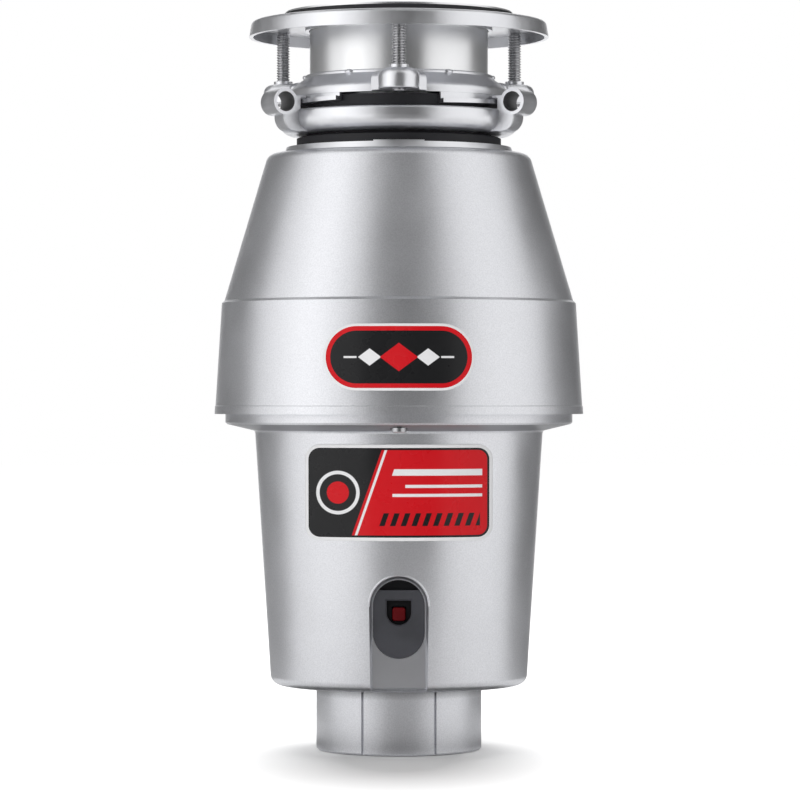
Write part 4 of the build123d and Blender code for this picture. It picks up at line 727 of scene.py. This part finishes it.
def platePoint(tree, plate):
    # the print's own flat coordinates in millimetres from its middle
    uv = addNode(tree, "UVMap", uv_map="print").outputs[0]
    shares = addNode(tree, "SeparateXYZ", {"Vector": uv}).outputs
    sizes = plate["width"], plate["height"]
    return [calc(tree, "MULTIPLY", calc(tree, "SUBTRACT", share, 0.5), size)
            for share, size in zip(shares, sizes)]


# masks: 1 where the print has a shape, with a thin soft step at its edge
def inside(tree, value, edge, soft=ink["soft"]):
    # below the edge
    return spread(tree, value, 1.0, 0.0, edge - soft, edge + soft)


def outside(tree, value, edge):
    return calc(tree, "SUBTRACT", 1.0, inside(tree, value, edge))


def between(tree, value, low, high):
    return both(tree, inside(tree, value, high), outside(tree, value, low))


def both(tree, first, *others):
    for mask in others:
        first = calc(tree, "MULTIPLY", first, mask)
    return first


def either(tree, first, *others):
    for mask in others:
        first = calc(tree, "MAXIMUM", first, mask)
    return first


def apart(tree, value, place):
    # how far value is from place
    return calc(tree, "ABSOLUTE", calc(tree, "SUBTRACT", value, place))


# rings of a plate: (inset, lift, material); the shapes of its print are in millimetres
badge = {
    "width": 70.0, "height": 31.0, "corner": 15.45 * mm,
    "rings": [(0, -0.25 * mm, 0), (0, 0.05 * mm, 0), (0.3 * mm, 0.25 * mm, 0),
              (1.2 * mm, 0.25 * mm, 0), (1.4 * mm, 0.05 * mm, 1), (3.3 * mm, 0.05 * mm, 1),
              (3.4 * mm, 0.05 * mm, 2)],
    "slope": 0.75, "middle": 6.6, "outer": 4.0, "outerAt": 13.5,
    "ruleAt": 22.5, "ruleHalf": 3.0, "ruleThick": 0.45,
}


def makeBadgeField():
    # black field, a row of three lozenges and two fine rules
    material, tree, shader = printMaterial("badgeField", ink["black"])
    side, tall = (calc(tree, "ABSOLUTE", share) for share in platePoint(tree, badge))

    def lozenge(offset, size):
        reach = calc(tree, "ADD", calc(tree, "MULTIPLY", offset, badge["slope"]), tall)
        return inside(tree, reach, size)

    outer = lozenge(apart(tree, side, badge["outerAt"]), badge["outer"])
    beyond = inside(tree, apart(tree, side, badge["ruleAt"]), badge["ruleHalf"])
    rule = both(tree, beyond, inside(tree, tall, badge["ruleThick"]))
    colour = blendColours(tree, either(tree, outer, rule), opaque["black"], opaque["white"])
    colour = blendColours(tree, lozenge(side, badge["middle"]), colour, opaque["red"])
    feed(tree, shader, "Base Color", colour)
    return material


# rules: (level, half length, half thickness)
label = {
    "width": 88.0, "height": 45.0, "corner": 7.0 * mm,
    "rings": [(0, -0.25 * mm, 0), (0, 0.05 * mm, 0), (0.3 * mm, 0.25 * mm, 0),
              (1.6 * mm, 0.25 * mm, 0), (1.8 * mm, 0.05 * mm, 1), (2.6 * mm, 0.05 * mm, 1),
              (2.7 * mm, 0.05 * mm, 2)],
    "slant": 0.35, "blackEnd": -15.0, "stripe": (-13.6, -12.4), "fieldStart": -6.0,
    "ringAt": -28.5, "ring": (8.6, 10.2), "dot": 5.2,
    "rules": ((9.5, 23.0, 1.5), (3.0, 18.0, 0.7), (-1.2, 21.0, 0.7)), "rulesEnd": 39,
    "hatch": (-15.5, -9.5), "hatchEnd": 38.0, "hatchPitch": 5.0, "hatchShare": (0.25, 0.02),
}


def makeLabelField():
    # red field; a slanted black end with a ring and dot; three plain rules; a hatched foot
    material, tree, shader = printMaterial("labelField", ink["red"])
    across, up = platePoint(tree, label)
    slant = calc(tree, "SUBTRACT", across, calc(tree, "MULTIPLY", up, label["slant"]))
    ringX = calc(tree, "SUBTRACT", across, label["ringAt"])
    squares = [calc(tree, "MULTIPLY", side, side) for side in (ringX, up)]
    far = calc(tree, "SQRT", calc(tree, "ADD", *squares))
    field = outside(tree, slant, label["fieldStart"])
    white = [between(tree, far, *label["ring"]), between(tree, slant, *label["stripe"])]
    for level, length, thick in label["rules"]:
        near = inside(tree, apart(tree, up, level), thick)
        reach = inside(tree, apart(tree, across, label["rulesEnd"] - length), length)
        white.append(both(tree, near, reach, field))
    step = calc(tree, "FRACT", calc(tree, "DIVIDE", slant, label["hatchPitch"]))
    hatch = inside(tree, apart(tree, step, 0.5), *label["hatchShare"])
    ended = inside(tree, across, label["hatchEnd"])
    foot = both(tree, between(tree, up, *label["hatch"]), hatch, field, ended)
    black = either(tree, inside(tree, slant, label["blackEnd"]), foot)
    colour = blendColours(tree, black, opaque["red"], opaque["black"])
    colour = blendColours(tree, either(tree, *white), colour, opaque["white"])
    colour = blendColours(tree, inside(tree, far, label["dot"]), colour, opaque["red"])
    feed(tree, shader, "Base Color", colour)
    return material


whiteRim = printMaterial("whiteRim", ink["white"])[0]
redRing = printMaterial("redRing", ink["red"])[0]
blackRing = printMaterial("blackRing", ink["black"])[0]
badgeInks = [whiteRim, redRing, makeBadgeField()]
makePlate("badgePlate", badge, badgeInks, "front_badge")
labelInks = [whiteRim, blackRing, makeLabelField()]
makePlate("labelPlate", label, labelInks, "front_label")
print("badge and label made")


# floor: glow is what the camera sees of it, near the part and beyond reach; near the part it fades
# out in an oval, so it paints light over the real shadow to the sides and keeps it in front, a
# painted shadow shape; shine is what reflections see
paper = {
    "tone": 0.92, "roughness": 0.9, "glow": (0.03, 0.62), "reach": (0.06, 0.21),
    "shine": (0.02, 0.55), "shineReach": (0.3, 1.4), "oval": (2.4, 1, 1), "ahead": (0, 0.05, 0),
    "radii": (0.01, 0.2, 1.0, 8.0), "level": -0.0004, "columns": 96,
}


def makeFloor():
    # white paper that glows: the glow is least in an oval near the part, which paints the shadow's
    # shape over the real one, and it shows white further off and in reflections
    material, tree, shader = startMaterial(
        "floorPaper", [paper["tone"]] * 3, 0.0, paper["roughness"], Specular_IOR_Level=0.0)
    path = addNode(tree, "LightPath")
    seen = either(tree, path.outputs["Is Camera Ray"], path.outputs["Is Transmission Ray"])
    shader.inputs["Emission Color"].default_value = (1, 1, 1, 1)
    place = ownPlace(tree)
    feeds = {0: place, 1: paper["oval"], 2: paper["ahead"]}
    oval = addNode(tree, "VectorMath", feeds, operation="MULTIPLY_ADD").outputs[0]
    near = addNode(tree, "VectorMath", {0: oval}, operation="LENGTH").outputs["Value"]
    far = addNode(tree, "VectorMath", {0: place}, operation="LENGTH").outputs["Value"]
    # painted shadow: the camera-seen glow falls to next to nothing in an oval round the foot,
    # stretched sideways and pushed ahead
    glow = both(tree, seen, spread(tree, near, *paper["glow"], *paper["reach"]))
    shine = spread(tree, far, *paper["shine"], *paper["shineReach"])
    shine = both(tree, path.outputs["Is Glossy Ray"], shine)
    feed(tree, shader, "Emission Strength", calc(tree, "ADD", glow, shine))
    turn = circle(paper["columns"])[None, :]
    grid = polar(np.array(paper["radii"])[:, None], turn, paper["level"])
    floor = gridPiece("floor", grid, [material], poles=(True, False))


# dark cards that only reflections see. Arcs: from and to in degrees, tone, where on the floor the
# card starts. Over: radius, level, tone. Under: inner and outer radius, tone.
cards = {
    "far": 2.6, "height": 3.4, "lift": 0.0005, "columns": 49, "grain": 0.02, "light": 1.08,
    "arcs": [(-23, 33, 0.21, 0.36), (104, 160, 0.24, 0.2), (200, 258, 0.34, 0.2)],
    "over": (1.0, 1.9, 0.36), "under": (0.048, 0.076, 0.14), "pinhole": 0.01,
}


def makeCards():
    # each card runs along the floor, then straight up, swept through its arc; a round one hangs
    # overhead, and a ring round the foot is painted shade of the floor there, seen in reflections
    far, top = cards["far"], cards["height"]
    shapes = [(start, stop, tone, (near, far, far), (0, 0, top))
              for start, stop, tone, near in cards["arcs"]]
    outer, level, tone = cards["over"]
    shapes.append((0, 360, tone, (cards["pinhole"], outer), (level, level)))
    # painted shade: a dark ring round the foot that only reflections see
    inner, outer, tone = cards["under"]
    shapes.append((0, 360, tone, (inner, outer), (0, 0)))
    for number, (start, stop, tone, radii, levels) in enumerate(shapes, 1):
        dark = [tone] * 3
        material, tree, shader = startMaterial(
            f"cardFelt{number}", dark, 0.0, 1.0, Specular_IOR_Level=0.0)
        felt = tint(tree, grain(tree, cards["grain"], 3), dark, [cards["light"] * tone] * 3)
        feed(tree, shader, "Base Color", felt)
        turn = np.radians(np.linspace(start, stop, cards["columns"]))[None, :]
        grid = polar(np.array(radii)[:, None], turn, np.array(levels)[:, None] + cards["lift"])
        card = gridPiece(f"card{number}", grid, [material], wrap=False, sharpAngle=20)
        card.visible_camera = card.visible_diffuse = False
        card.visible_transmission = card.visible_shadow = False


def hangLamp(name, size, energy, place, turn):
    lamp = bpy.data.lights.new(name, "AREA")
    lamp.shape = "RECTANGLE"
    lamp.size, lamp.size_y = size
    lamp.energy = energy
    holder = bpy.data.objects.new(name, lamp)
    holder.location = place
    holder.rotation_euler = turn
    holder.visible_camera = False
    scene.collection.objects.link(holder)
    return holder


softboxes = {
    "left": {"angle": -58, "distance": 1.7, "size": (0.9, 2.4), "level": 1.0, "radiance": 0.38},
    "right": {"angle": 66, "distance": 1.7, "size": (0.8, 2.4), "level": 1.0, "radiance": 0.06},
}


def makeSoftbox(name, box):
    angle = radians(box["angle"])
    energy = box["radiance"] * pi * box["size"][0] * box["size"][1]
    place = polar(box["distance"], angle, box["level"])
    hangLamp(name, box["size"], energy, place, (pi / 2, 0, angle))


# lamps for the matte surfaces and the floor alone: one behind and above, which lays the shadow
# forward, one in front
fills = {
    "top": {"angle": 180, "distance": 1.5, "tilt": 62, "size": (1.5, 0.8), "strength": 0.60},
    "front": {"angle": -12, "distance": 1.7, "tilt": 6, "size": (1.2, 0.9), "strength": 0.42},
}


def makeFill(name, fill):
    # strength is what a plain white surface facing the lamp gives back
    angle, tilt, distance = radians(fill["angle"]), radians(fill["tilt"]), fill["distance"]
    energy = fill["strength"] * pi ** 2 * distance ** 2
    middle = (cadBox[1][2] - cadBox[0][2]) / 2
    place = polar(distance * np.cos(tilt), angle, middle + distance * np.sin(tilt))
    holder = hangLamp(name, fill["size"], energy, place, (pi / 2 - tilt, 0, angle))
    holder.visible_glossy = False


studio = {"seen": 1.0, "fill": 0.42}


def makeWorld():
    world = bpy.data.worlds.new("studio")
    scene.world = world
    world.use_nodes = True
    tree = world.node_tree
    path = addNode(tree, "LightPath").outputs
    seen = either(tree, path["Is Camera Ray"], path["Is Glossy Ray"], path["Is Transmission Ray"])
    strength = spread(tree, seen, studio["fill"], studio["seen"], 0.0, 1.0)
    background = tree.nodes["Background"]
    background.inputs["Color"].default_value = (1, 1, 1, 1)
    feed(tree, background, "Strength", strength)


makeFloor()
makeCards()
for name, box in softboxes.items():
    makeSoftbox(name + "Softbox", box)
for name, fill in fills.items():
    makeFill(name + "Fill", fill)
makeWorld()
print("studio lit")
